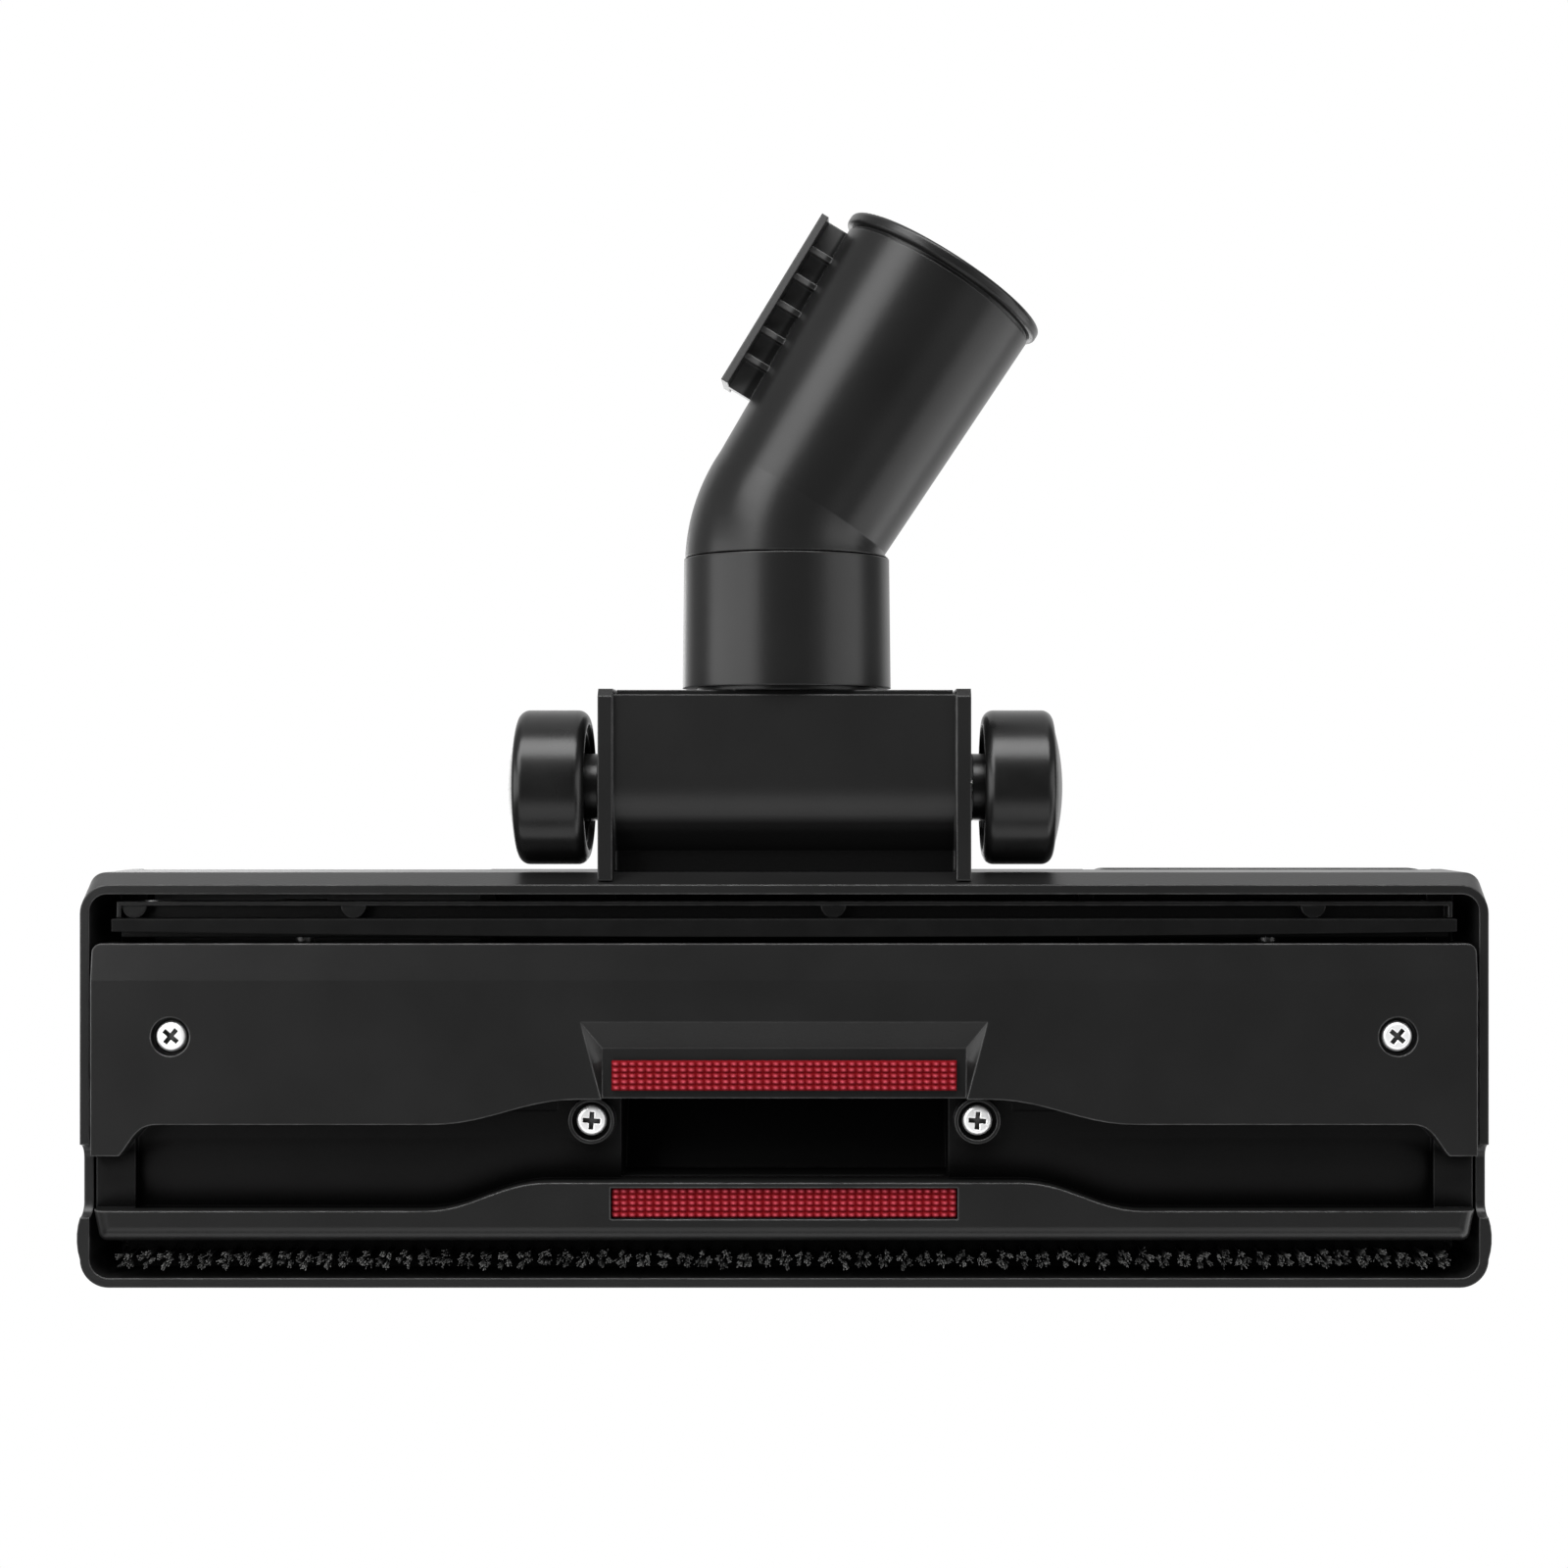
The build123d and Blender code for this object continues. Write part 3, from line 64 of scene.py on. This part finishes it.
def make_camera():
    data = bpy.data.cameras.new("photo_camera")
    camera = bpy.data.objects.new("photo_camera", data)
    scene.collection.objects.link(camera)
    pixel = SOLE_MM_PER_PIXEL * MM
    height = (SOLE_ORIGIN_ROW - PHOTO_PIXELS / 2) * pixel
    aside = VANISHING_COLUMN - PHOTO_PIXELS / 2
    camera.location = (-aside * pixel, height, -CAMERA_DISTANCE_PIXELS * pixel)
    camera.rotation_euler = (0.0, math.pi, 0.0)
    data.sensor_width = SENSOR
    data.lens = SENSOR * CAMERA_DISTANCE_PIXELS / PHOTO_PIXELS
    data.shift_x = -aside / PHOTO_PIXELS
    data.clip_start = 0.01
    data.clip_end = 50.0
    scene.camera = camera


make_camera()


# Materials
EDGE_RADIUS = 0.45 * MM
SIDE_FADE = 0.2 * MM
# Fade and reach of the deeper painted shade in the nook corners
NOOK_SHADE_FADE = 3.0 * MM
NOOK_SHADE_REACH = 7.0 * MM
# Fade of the rail's painted light
FILL_LIGHT_FADE = 0.7 * MM
RECESS_REACH = 2.5 * MM


def grey(value):
    return (value, value, value)


class Nodes:
    """Helper that builds one node material; a value is a socket, a number or a colour."""

    def __init__(self, name):
        self.material = bpy.data.materials.new(name)
        self.material.use_nodes = True
        self.tree = self.material.node_tree
        self.shader = self.tree.nodes["Principled BSDF"]
        self.place = self.node("ShaderNodeTexCoord").outputs["Object"]
        self.rounded = self.node("ShaderNodeBevel", samples=6)
        self.rounded.inputs["Radius"].default_value = EDGE_RADIUS

    def node(self, kind, **values):
        made = self.tree.nodes.new(kind)
        for key, value in values.items():
            setattr(made, key, value)
        return made

    def link(self, source, target):
        self.tree.links.new(source, target)

    def feed(self, target, value):
        """Link a socket, or set a number or a colour."""
        if isinstance(value, bpy.types.NodeSocket):
            self.link(value, target)
        elif isinstance(value, tuple):
            target.default_value = (*value, 1.0)
        else:
            target.default_value = value

    def set(self, **values):
        """Constants of the shader, by socket name with underscores."""
        for key, value in values.items():
            self.shader.inputs[key.replace("_", " ")].default_value = value

    def drive(self, **values):
        """Sockets that feed the shader, by socket name with underscores."""
        for key, value in values.items():
            self.link(value, self.shader.inputs[key.replace("_", " ")])

    def noise(self, scale, detail=2.0, roughness=0.5):
        made = self.node("ShaderNodeTexNoise")
        made.inputs["Scale"].default_value = scale
        made.inputs["Detail"].default_value = detail
        made.inputs["Roughness"].default_value = roughness
        self.link(self.place, made.inputs["Vector"])
        return made.outputs["Fac"]

    def remap(self, value, low, high, start=0.0, stop=1.0):
        made = self.node("ShaderNodeMapRange")
        made.inputs["From Min"].default_value = start
        made.inputs["From Max"].default_value = stop
        made.inputs["To Min"].default_value = low
        made.inputs["To Max"].default_value = high
        self.link(value, made.inputs["Value"])
        return made.outputs["Result"]

    def math(self, operation, first, second=0.0):
        made = self.node("ShaderNodeMath", operation=operation)
        self.feed(made.inputs[0], first)
        self.feed(made.inputs[1], second)
        return made.outputs["Value"]

    def blend(self, factor, first, second):
        made = self.node("ShaderNodeMix", data_type="RGBA")
        self.feed(made.inputs["Factor"], factor)
        self.feed(made.inputs["A"], first)
        self.feed(made.inputs["B"], second)
        return made.outputs["Result"]

    def bump(self, height, strength, distance):
        """Fine relief on top of the rounded edges."""
        made = self.node("ShaderNodeBump")
        made.inputs["Strength"].default_value = strength
        made.inputs["Distance"].default_value = distance
        self.link(height, made.inputs["Height"])
        self.link(self.rounded.outputs["Normal"], made.inputs["Normal"])
        self.drive(Normal=made.outputs["Normal"])

    def edge(self):
        """1 on rounded edges, 0 on open faces."""
        turn = self.node("ShaderNodeVectorMath", operation="DOT_PRODUCT")
        self.link(self.rounded.outputs["Normal"], turn.inputs[0])
        self.link(self.node("ShaderNodeNewGeometry").outputs["Normal"], turn.inputs[1])
        return self.remap(turn.outputs["Value"], 1.0, 0.0, 0.9, 0.995)

    def along(self, direction):
        """How far a point lies along a direction from the origin."""
        made = self.node("ShaderNodeVectorMath", operation="DOT_PRODUCT")
        self.link(self.place, made.inputs[0])
        made.inputs[1].default_value = direction
        return made.outputs["Value"]

    def openness(self, distance, start, stop):
        """1 on open faces, 0 in hollows of the same piece."""
        made = self.node("ShaderNodeAmbientOcclusion", only_local=True, samples=8)
        made.inputs["Distance"].default_value = distance
        return self.remap(made.outputs["AO"], 0.0, 1.0, start, stop)


# Zone that gets painted shade: a darker colour and less specular
def painted_shade_mask(m, low, fade, high=None, within=None):
    """Mask that is 1 above low, up to high where it is given, and nearer the middle than within."""
    depth = m.along((0.0, 0.0, 1.0))
    mask = m.remap(depth, 0.0, 1.0, low, low + fade)
    if high:
        mask = m.math("MULTIPLY", mask, m.remap(depth, 1.0, 0.0, high, high + fade))
    if within:
        aside = m.math("ABSOLUTE", m.along((1.0, 0.0, 0.0)))
        mask = m.math("MULTIPLY", mask, m.remap(aside, 1.0, 0.0, within, within + SIDE_FADE))
    return mask


def unshaded_mask(m, inside, nook):
    """Mask that is 0 in the corners of the darker zone in front of nook, which get a deeper painted shade.
    """
    behind = m.remap(m.along((0.0, 1.0, 0.0)), 0.0, 1.0, nook, nook + NOOK_SHADE_FADE)
    unshaded = m.math("MAXIMUM", m.openness(NOOK_SHADE_REACH, 0.6, 0.9), behind)
    return m.math("MAXIMUM", unshaded, m.remap(inside, 1.0, 0.0))


def moulded_plastic(name, tone, rough, grain, ior, edge_wear_and_highlight,
                    painted_shade=None, gloss_left=0.28, nook=None, painted_fill_light=None):
    """Black moulded plastic: cloudy tone, spark-eroded grain, edges paler, partly from wear and partly as a
    painted highlight.

    painted_shade: limits of a darker zone with less specular, painted shade in the hollows, as
    painted_shade_mask takes them; gloss_left is its specular level
    nook: corners of that zone in front of this Y get a deeper painted shade
    greyed: direction, start and tone of a zone painted grey as painted light
    """
    m = Nodes(name)
    cloud = m.remap(m.noise(38.0, 3.0), 0.0, 1.0, 0.3, 0.7)
    colour = m.blend(cloud, grey(tone * 0.85), grey(tone * 1.15))
    # Edges paler: partly wear, partly a painted highlight along the edge lines
    edge_wear_and_highlight_mask = m.math("MULTIPLY", m.edge(), m.remap(m.noise(240.0, 4.0), 0.3, 1.0, 0.35, 0.6))
    colour = m.blend(edge_wear_and_highlight_mask, colour, grey(edge_wear_and_highlight))
    m.drive(Roughness=m.remap(m.noise(90.0, 4.0), rough - 0.03, rough + 0.03))
    m.bump(m.noise(2200.0), strength=grain, distance=0.2 * MM)
    m.set(IOR=ior)
    # Painted light: a zone of the rail painted lighter grey
    if painted_fill_light:
        start = painted_fill_light["start"]
        fill_light_mask = m.remap(m.along(painted_fill_light["direction"]), 0.0, 1.0, start, start + FILL_LIGHT_FADE)
        colour = m.blend(fill_light_mask, colour, grey(painted_fill_light["tone"]))
    # Painted shade in the hollows: a darker colour and less specular inside the zone
    if painted_shade:
        inside = painted_shade_mask(m, **painted_shade)
        gloss = m.remap(inside, 0.5, gloss_left)
        colour = m.blend(inside, colour, grey(tone * 0.5))
        # Deeper painted shade in the corners of the zone in front of the nook
        if nook:
            unshaded = unshaded_mask(m, inside, nook)
            gloss = m.math("MULTIPLY", gloss, m.remap(unshaded, 0.06, 1.0))
            colour = m.blend(unshaded, grey(tone * 0.1), colour)
        m.drive(Specular_IOR_Level=gloss)
    m.drive(Base_Color=colour)
    return m.material


def rubber(name, tone, rough, ior):
    """Soft black rubber with a dusty bloom."""
    m = Nodes(name)
    bloom = m.remap(m.noise(160.0, 5.0, 0.6), 0.0, 1.0, 0.4, 0.75)
    m.drive(Base_Color=m.blend(bloom, grey(tone), grey(tone * 1.7)))
    m.drive(Roughness=m.remap(m.noise(60.0, 3.0), rough - 0.05, rough + 0.08))
    m.bump(m.noise(2600.0), strength=0.08, distance=0.1 * MM)
    m.set(IOR=ior)
    return m.material


def zinc_steel(name, tone):
    """Zinc-plated steel, with painted shade in the bottom of the cross recess."""
    m = Nodes(name)
    shallow = m.openness(RECESS_REACH, 0.55, 0.92)
    m.drive(Base_Color=m.blend(shallow, grey(tone * 0.1), grey(tone)))
    m.drive(Roughness=m.remap(m.noise(1500.0), 0.36, 0.46))
    m.bump(m.noise(4000.0), strength=0.03, distance=0.05 * MM)
    m.set(Metallic=0.8)
    return m.material


def velour(name):
    """Red pile: painted shade, deep red, between the loops, and a painted highlight, paler, on the loop
    tops.
    """
    m = Nodes(name)
    tip = m.node("ShaderNodeAttribute", attribute_name="tip").outputs["Fac"]
    level = m.math("MULTIPLY", tip, m.remap(m.noise(700.0, 3.0), 0.75, 1.15))
    m.drive(Base_Color=m.blend(level, (0.1, 0.0003, 0.0018), (0.43, 0.06, 0.085)))
    m.drive(Roughness=m.remap(m.noise(2500.0), 0.45, 0.7))
    m.bump(m.noise(6000.0), strength=0.3, distance=0.1 * MM)
    m.set(Specular_IOR_Level=0.04, Sheen_Weight=0.04, Sheen_Roughness=0.4, Sheen_Tint=(1.0, 0.2, 0.25, 1.0))
    return m.material


def bristle(name):
    """Dark nylon fibres, with a painted highlight towards their cut ends."""
    m = Nodes(name)
    tip = m.node("ShaderNodeAttribute", attribute_name="tip").outputs["Fac"]
    m.drive(Base_Color=m.blend(tip, grey(0.003), (0.12, 0.12, 0.117)))
    m.drive(Roughness=m.remap(m.noise(3000.0), 0.4, 0.6))
    m.set(IOR=1.53)
    return m.material


# Values of the moulded plastics
SHELL = dict(tone=0.007, rough=0.32, grain=0.1, ior=1.34, edge_wear_and_highlight=0.045)
SOLE = dict(tone=0.007, rough=0.3, grain=0.08, ior=1.32, edge_wear_and_highlight=0.07)
NECK = dict(tone=0.006, rough=0.3, grain=0.06, ior=1.33, edge_wear_and_highlight=0.03)
# Inner plastic darker and duller than the outer plastics: painted shade for the deep trough of the brush
# carrier
INNER = dict(tone=0.0015, rough=0.45, grain=0.1, ior=1.12, edge_wear_and_highlight=0.006)
WHEEL = dict(tone=0.007, rough=0.3, grain=0.06, ior=1.36, edge_wear_and_highlight=0.03)
HOLDER = dict(tone=0.006, rough=0.34, grain=0.1, ior=1.36, edge_wear_and_highlight=0.05)

# Zones of painted shade and painted light on some pieces: heights above the sole, distances from the
# middle, and the way the rail faces
CHANNEL_ZONE = dict(low=2.4 * MM, fade=2.0 * MM)
CHANNEL_NOOK = -30.0 * MM
HOLDER_ZONE = dict(low=5.2 * MM, fade=2.0 * MM)
BOX_FLOOR_ZONE = dict(low=5.5 * MM, fade=0.8 * MM, high=11.4 * MM, within=32.6 * MM)
RAIL_ZONE = dict(direction=(0.848, 0.53, 0.0), start=70.15 * MM, tone=0.05)

materials = {
    "shell_plastic": moulded_plastic("shell_plastic", **SHELL),
    "sole_plastic": moulded_plastic("sole_plastic", **SOLE, painted_shade=CHANNEL_ZONE, nook=CHANNEL_NOOK),
    "neck_plastic": moulded_plastic("neck_plastic", **NECK),
    "inner_plastic": moulded_plastic("inner_plastic", **INNER),
    "wheel_plastic": moulded_plastic("wheel_plastic", **WHEEL),
    "wheel_tyre": rubber("wheel_tyre", tone=0.003, rough=0.27, ior=1.35),
    "seal_rubber": rubber("seal_rubber", tone=0.002, rough=0.5, ior=1.17),
    "red_velour": velour("red_velour"),
    "steel": zinc_steel("steel", tone=0.95),
    "bristle": bristle("bristle"),
}

# Nodes whose finish differs from that of their slot; the holder and the housing carry painted shade, the
# elbow painted light
own_finish = {
    "link_rods": zinc_steel("dull_steel", tone=0.25),
    "rear_lip_holder": moulded_plastic("holder_plastic", **HOLDER, painted_shade=HOLDER_ZONE),
    "neck_housing": moulded_plastic("housing_plastic", **SHELL, painted_shade=BOX_FLOOR_ZONE, gloss_left=0.1),
    "elbow_tube": moulded_plastic("elbow_plastic", **NECK, painted_fill_light=RAIL_ZONE),
}

slot_of = {row["node"]: row["material_slot"] for row in frame["record"]["subparts"]}


def dress_cad_nodes():
    """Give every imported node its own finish, or that of its slot."""
    for name, obj in nodes.items():
        obj.data.materials.clear()
        obj.data.materials.append(own_finish.get(name, materials[slot_of[name]]))


dress_cad_nodes()


def mesh_object(name, mesh, body, slot, *stands_for):
    """A finished new piece: linked, dressed, and riding on its body."""
    obj = bpy.data.objects.new(name, mesh)
    scene.collection.objects.link(obj)
    mesh.materials.append(materials[slot])
    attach(obj, body)
    if stands_for:
        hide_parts(*stands_for)
    return obj


# Bristles: every tuft is a bundle of fibres that part into a few clumps towards their ends
CLUMPS = 4
CLUMP_FIBRES = 16
CLUMP_SPREAD = 0.32 * MM
FIBRE_RADIUS = 0.12 * MM
FIBRE_STEPS = 3
TUFT_ROOT = 0.9 * MM
TUFT_SPREAD = 1.25 * MM
TUFT_PITCH = 3.83 * MM
TUFT_WIDTH = 3.0 * MM
TUFT_JITTER = 0.15 * MM


def add_fibre(bm, tip, root, sway, drop, shine, turn):
    """One three-sided fibre from its root down to its cut end."""
    rings = []
    for step in range(FIBRE_STEPS + 1):
        t = step / FIBRE_STEPS
        place = root + sway * t * t - Vector((0.0, 0.0, drop * t))
        ring = []
        for corner in range(3):
            angle = math.tau * corner / 3 + turn
            vert = bm.verts.new(place + Vector((math.cos(angle), math.sin(angle), 0.0)) * FIBRE_RADIUS)
            vert[tip] = t ** 3 * shine
            ring.append(vert)
        rings.append(ring)
    for upper, lower in zip(rings, rings[1:]):
        for corner in range(3):
            following = (corner + 1) % 3
            bm.faces.new((upper[corner], lower[corner], lower[following], upper[following]))
    bm.faces.new(rings[0])
    bm.faces.new(tuple(reversed(rings[-1])))


def make_bristles():
    rng = random.Random(11)
    low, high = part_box("front_bristles")
    middle = (low[1] + high[1]) / 2
    span = high[0] - low[0]
    count = round((span - TUFT_WIDTH) / TUFT_PITCH) + 1
    bm = bmesh.new()
    tip = bm.verts.layers.float.new("tip")
    for index in range(count):
        centre = (index - (count - 1) / 2) * TUFT_PITCH + rng.uniform(-TUFT_JITTER, TUFT_JITTER)
        base = Vector((centre, middle, high[2]))
        phase = rng.uniform(0.0, math.tau)
        for clump in range(CLUMPS):
            angle = phase + math.tau * (clump + rng.uniform(-0.25, 0.25)) / CLUMPS
            out = Vector((math.cos(angle), 1.15 * math.sin(angle), 0.0))
            heart = out * TUFT_SPREAD * rng.uniform(0.55, 1.0)
            # Strength of the painted highlight at the ends of this clump's fibres
            shine = rng.uniform(0.15, 1.0)
            for _ in range(CLUMP_FIBRES):
                root = base + out * TUFT_ROOT * rng.uniform(0.1, 0.9)
                stray = Vector((rng.gauss(0.0, 1.0), rng.gauss(0.0, 1.0), 0.0)) * CLUMP_SPREAD
                sway = base + heart + stray - root
                drop = (high[2] - low[2]) * rng.uniform(0.84, 1.0)
                add_fibre(bm, tip, root, sway, drop, shine * rng.uniform(0.5, 1.0), angle)
    bm.normal_update()
    bmesh.ops.recalc_face_normals(bm, faces=bm.faces)
    mesh = bpy.data.meshes.new("front_bristle_tufts")
    bm.to_mesh(mesh)
    bm.free()
    mesh_object("front_bristle_tufts", mesh, "brush_frame", "bristle", "front_bristles")


make_bristles()

# Lint strips: a woven backing with rows of cut pile loops
PILE_COLUMNS = 41
PILE_ROWS = 5
PILE_STEPS = 6
PILE_DEPTH = 0.55 * MM
PILE_WELD = 0.003 * MM


def make_lint_strip(node, name):
    rng = random.Random(len(node))
    low, high = (Vector(corner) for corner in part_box(node))
    pitch_x = (high.x - low.x) / PILE_COLUMNS
    pitch_y = (high.y - low.y) / PILE_ROWS
    ground = low.z + PILE_DEPTH
    bm = bmesh.new()
    tip = bm.verts.layers.float.new("tip")
    for column in range(PILE_COLUMNS):
        for row in range(PILE_ROWS):
            corner = Vector((low.x + column * pitch_x, low.y + row * pitch_y, ground))
            tall = PILE_DEPTH * rng.uniform(0.82, 1.0)
            slant = rng.uniform(-0.08, 0.08)
            grid = []
            for i in range(PILE_STEPS + 1):
                line = []
                for j in range(PILE_STEPS + 1):
                    u, v = i / PILE_STEPS, j / PILE_STEPS
                    rise = (math.sin(math.pi * u) * math.sin(math.pi * v)) ** 0.55
                    shift = slant * rise * pitch_x
                    place = corner + Vector((u * pitch_x + shift, v * pitch_y, -tall * rise))
                    vert = bm.verts.new(place)
                    # The tip value marks the painted highlight on the top of each loop
                    peak = math.exp(-(((u - 0.5) / 0.21) ** 2 + ((v - 0.5) / 0.19) ** 2))
                    vert[tip] = peak * rng.uniform(0.8, 1.0) + 0.06 * rise
                    line.append(vert)
                grid.append(line)
            for i in range(PILE_STEPS):
                for j in range(PILE_STEPS):
                    bm.faces.new((grid[i][j], grid[i][j + 1], grid[i + 1][j + 1], grid[i + 1][j]))
    bmesh.ops.remove_doubles(bm, verts=bm.verts, dist=PILE_WELD)
    rim = [edge for edge in bm.edges if len(edge.link_faces) == 1]
    walls = bmesh.ops.extrude_edge_only(bm, edges=rim)["geom"]
    tops = [part for part in walls if isinstance(part, bmesh.types.BMVert)]
    for vert in tops:
        vert.co.z = high.z
    closing = [edge for edge in bm.edges if len(edge.link_faces) == 1]
    bmesh.ops.holes_fill(bm, edges=closing)
    bmesh.ops.recalc_face_normals(bm, faces=bm.faces)
    for face in bm.faces:
        face.smooth = True
    mesh = bpy.data.meshes.new(name)
    bm.to_mesh(mesh)
    bm.free()
    mesh_object(name, mesh, "head", "red_velour", node)


make_lint_strip("front_lint_strip", "front_lint_pile")
make_lint_strip("rear_lint_strip", "rear_lint_pile")


# Small pieces that close gaps: dark strips on the pedal ledges that keep light out of the pedal slots and
# stand in for shade there, patches beside the inner screws
def make_blocks(name, slot, size, place):
    """A pair of blocks, mirrored left and right; sizes in millimetres."""
    bm = bmesh.new()
    for side in (-1.0, 1.0):
        cube = bmesh.ops.create_cube(bm, size=1.0)["verts"]
        bmesh.ops.scale(bm, verts=cube, vec=Vector(size) * MM)
        bmesh.ops.translate(bm, verts=cube, vec=Vector((side * place[0], place[1], place[2])) * MM)
    mesh = bpy.data.meshes.new(name)
    bm.to_mesh(mesh)
    bm.free()
    mesh_object(name, mesh, "head", slot)


make_blocks("pedal_light_blockers", "seal_rubber", size=(1.3, 13.0, 1.0), place=(127.33, 13.2, 23.4))
make_blocks("channel_patches", "sole_plastic", size=(10.0, 4.4, 1.0), place=(47.8, -20.5, 6.53))


# Studio: pale floor that only the camera sees from above, pale surround, soft boxes and grey cards
FLOOR_HALF = 4.0
FLOOR_LEVEL = -0.05 * MM


def make_floor():
    mesh = bpy.data.meshes.new("studio_floor")
    half, level = FLOOR_HALF, FLOOR_LEVEL
    corners = [(-half, -half, level), (half, -half, level), (half, half, level), (-half, half, level)]
    mesh.from_pydata(corners, [], [(0, 1, 2, 3)])
    floor = bpy.data.objects.new("studio_floor", mesh)
    scene.collection.objects.link(floor)
    m = Nodes("studio_floor")
    m.drive(Base_Color=m.blend(m.noise(3.0), grey(0.8), grey(0.84)))
    m.set(Roughness=0.6)
    clear = m.node("ShaderNodeBsdfTransparent")
    mix = m.node("ShaderNodeMixShader")
    side = m.node("ShaderNodeNewGeometry").outputs["Backfacing"]
    m.link(side, mix.inputs["Fac"])
    m.link(m.shader.outputs["BSDF"], mix.inputs[1])
    m.link(clear.outputs["BSDF"], mix.inputs[2])
    m.link(mix.outputs["Shader"], m.tree.nodes["Material Output"].inputs["Surface"])
    mesh.materials.append(m.material)
    floor.visible_shadow = False
    floor.visible_diffuse = False
    floor.visible_glossy = False


make_floor()


BACKDROP = 1.0
ROOM = 0.12


def make_world():
    """White backdrop on the far side of the object and overhead, dim room on the sole's side."""
    world = bpy.data.worlds.new("studio")
    scene.world = world
    world.use_nodes = True
    tree = world.node_tree
    direction = tree.nodes.new("ShaderNodeTexCoord").outputs["Generated"]
    split = tree.nodes.new("ShaderNodeSeparateXYZ")
    tree.links.new(direction, split.inputs["Vector"])
    level = tree.nodes.new("ShaderNodeMapRange")
    level.interpolation_type = "SMOOTHSTEP"
    level.inputs["From Min"].default_value = -0.2
    level.inputs["From Max"].default_value = 0.2
    level.inputs["To Min"].default_value = ROOM
    level.inputs["To Max"].default_value = BACKDROP
    tree.links.new(split.outputs["Z"], level.inputs["Value"])
    tree.links.new(level.outputs["Result"], tree.nodes["Background"].inputs["Color"])


make_world()


def soft_box(name, aim, direction, distance, size, power):
    """Rectangular area light at a distance from the aim point, facing it."""
    data = bpy.data.lights.new(name, "AREA")
    data.shape = "RECTANGLE"
    data.size, data.size_y = size
    data.energy = power
    lamp = bpy.data.objects.new(name, data)
    scene.collection.objects.link(lamp)
    away = Vector(direction).normalized()
    lamp.location = Vector(aim) + away * distance
    lamp.rotation_euler = away.to_track_quat("Z", "Y").to_euler()


HEAD_CENTRE = (0.0, 0.02, 0.015)
NECK_CENTRE = (-0.015, 0.1, 0.02)
soft_box("left_strip", NECK_CENTRE, (0.9, 0.0, -0.43), distance=0.9, size=(0.45, 1.2), power=7.0)
soft_box("left_high", NECK_CENTRE, (0.62, 0.5, -0.6), distance=0.9, size=(0.35, 0.6), power=4.6)
soft_box("right_wall", NECK_CENTRE, (-0.87, 0.0, -0.5), distance=1.0, size=(0.6, 1.2), power=1.2)
soft_box("right_edge", NECK_CENTRE, (-0.97, 0.1, -0.2), distance=0.9, size=(0.4, 1.2), power=3.0)
soft_box("right_table", NECK_CENTRE, (-0.82, -0.55, 0.02), distance=0.9, size=(1.0, 0.9), power=6.5)
soft_box("top_strip", HEAD_CENTRE, (0.0, 0.88, -0.47), distance=1.0, size=(1.2, 0.5), power=20.0)
soft_box("front_table", HEAD_CENTRE, (0.0, -0.57, -0.82), distance=0.9, size=(1.4, 0.42), power=3.2)
soft_box("front_edge", HEAD_CENTRE, (0.0, -0.95, -0.3), distance=0.9, size=(1.4, 0.4), power=3.0)
soft_box("overhead", HEAD_CENTRE, (0.25, -0.35, 0.9), distance=1.3, size=(1.4, 1.0), power=8.0)


FLAG_BOTTOM = 0.03
FLAG_TOP = 0.5
FLAG_BACK = 1.0


def make_flag(name, aside, front, glow):
    """Grey card beside the object that only reflections see; it dims the backdrop on the tube's flanks."""
    mesh = bpy.data.meshes.new(name)
    outline = ((front, FLAG_BOTTOM), (FLAG_BACK, FLAG_BOTTOM), (FLAG_BACK, FLAG_TOP), (front, FLAG_TOP))
    mesh.from_pydata([(aside, y, z) for y, z in outline], [], [(0, 1, 2, 3)])
    card = bpy.data.objects.new(name, mesh)
    scene.collection.objects.link(card)
    m = Nodes(name)
    m.set(Emission_Color=(1.0, 1.0, 1.0, 1.0), Emission_Strength=glow)
    m.drive(Base_Color=m.blend(m.noise(2.0), grey(0.01), grey(0.02)))
    mesh.materials.append(m.material)
    card.visible_camera = False
    card.visible_diffuse = False
    card.visible_shadow = False


make_flag("left_flag", aside=0.55, front=-0.4, glow=0.33)
make_flag("right_flag", aside=-0.55, front=-0.03, glow=0.12)

scene.view_settings.view_transform = "Standard"
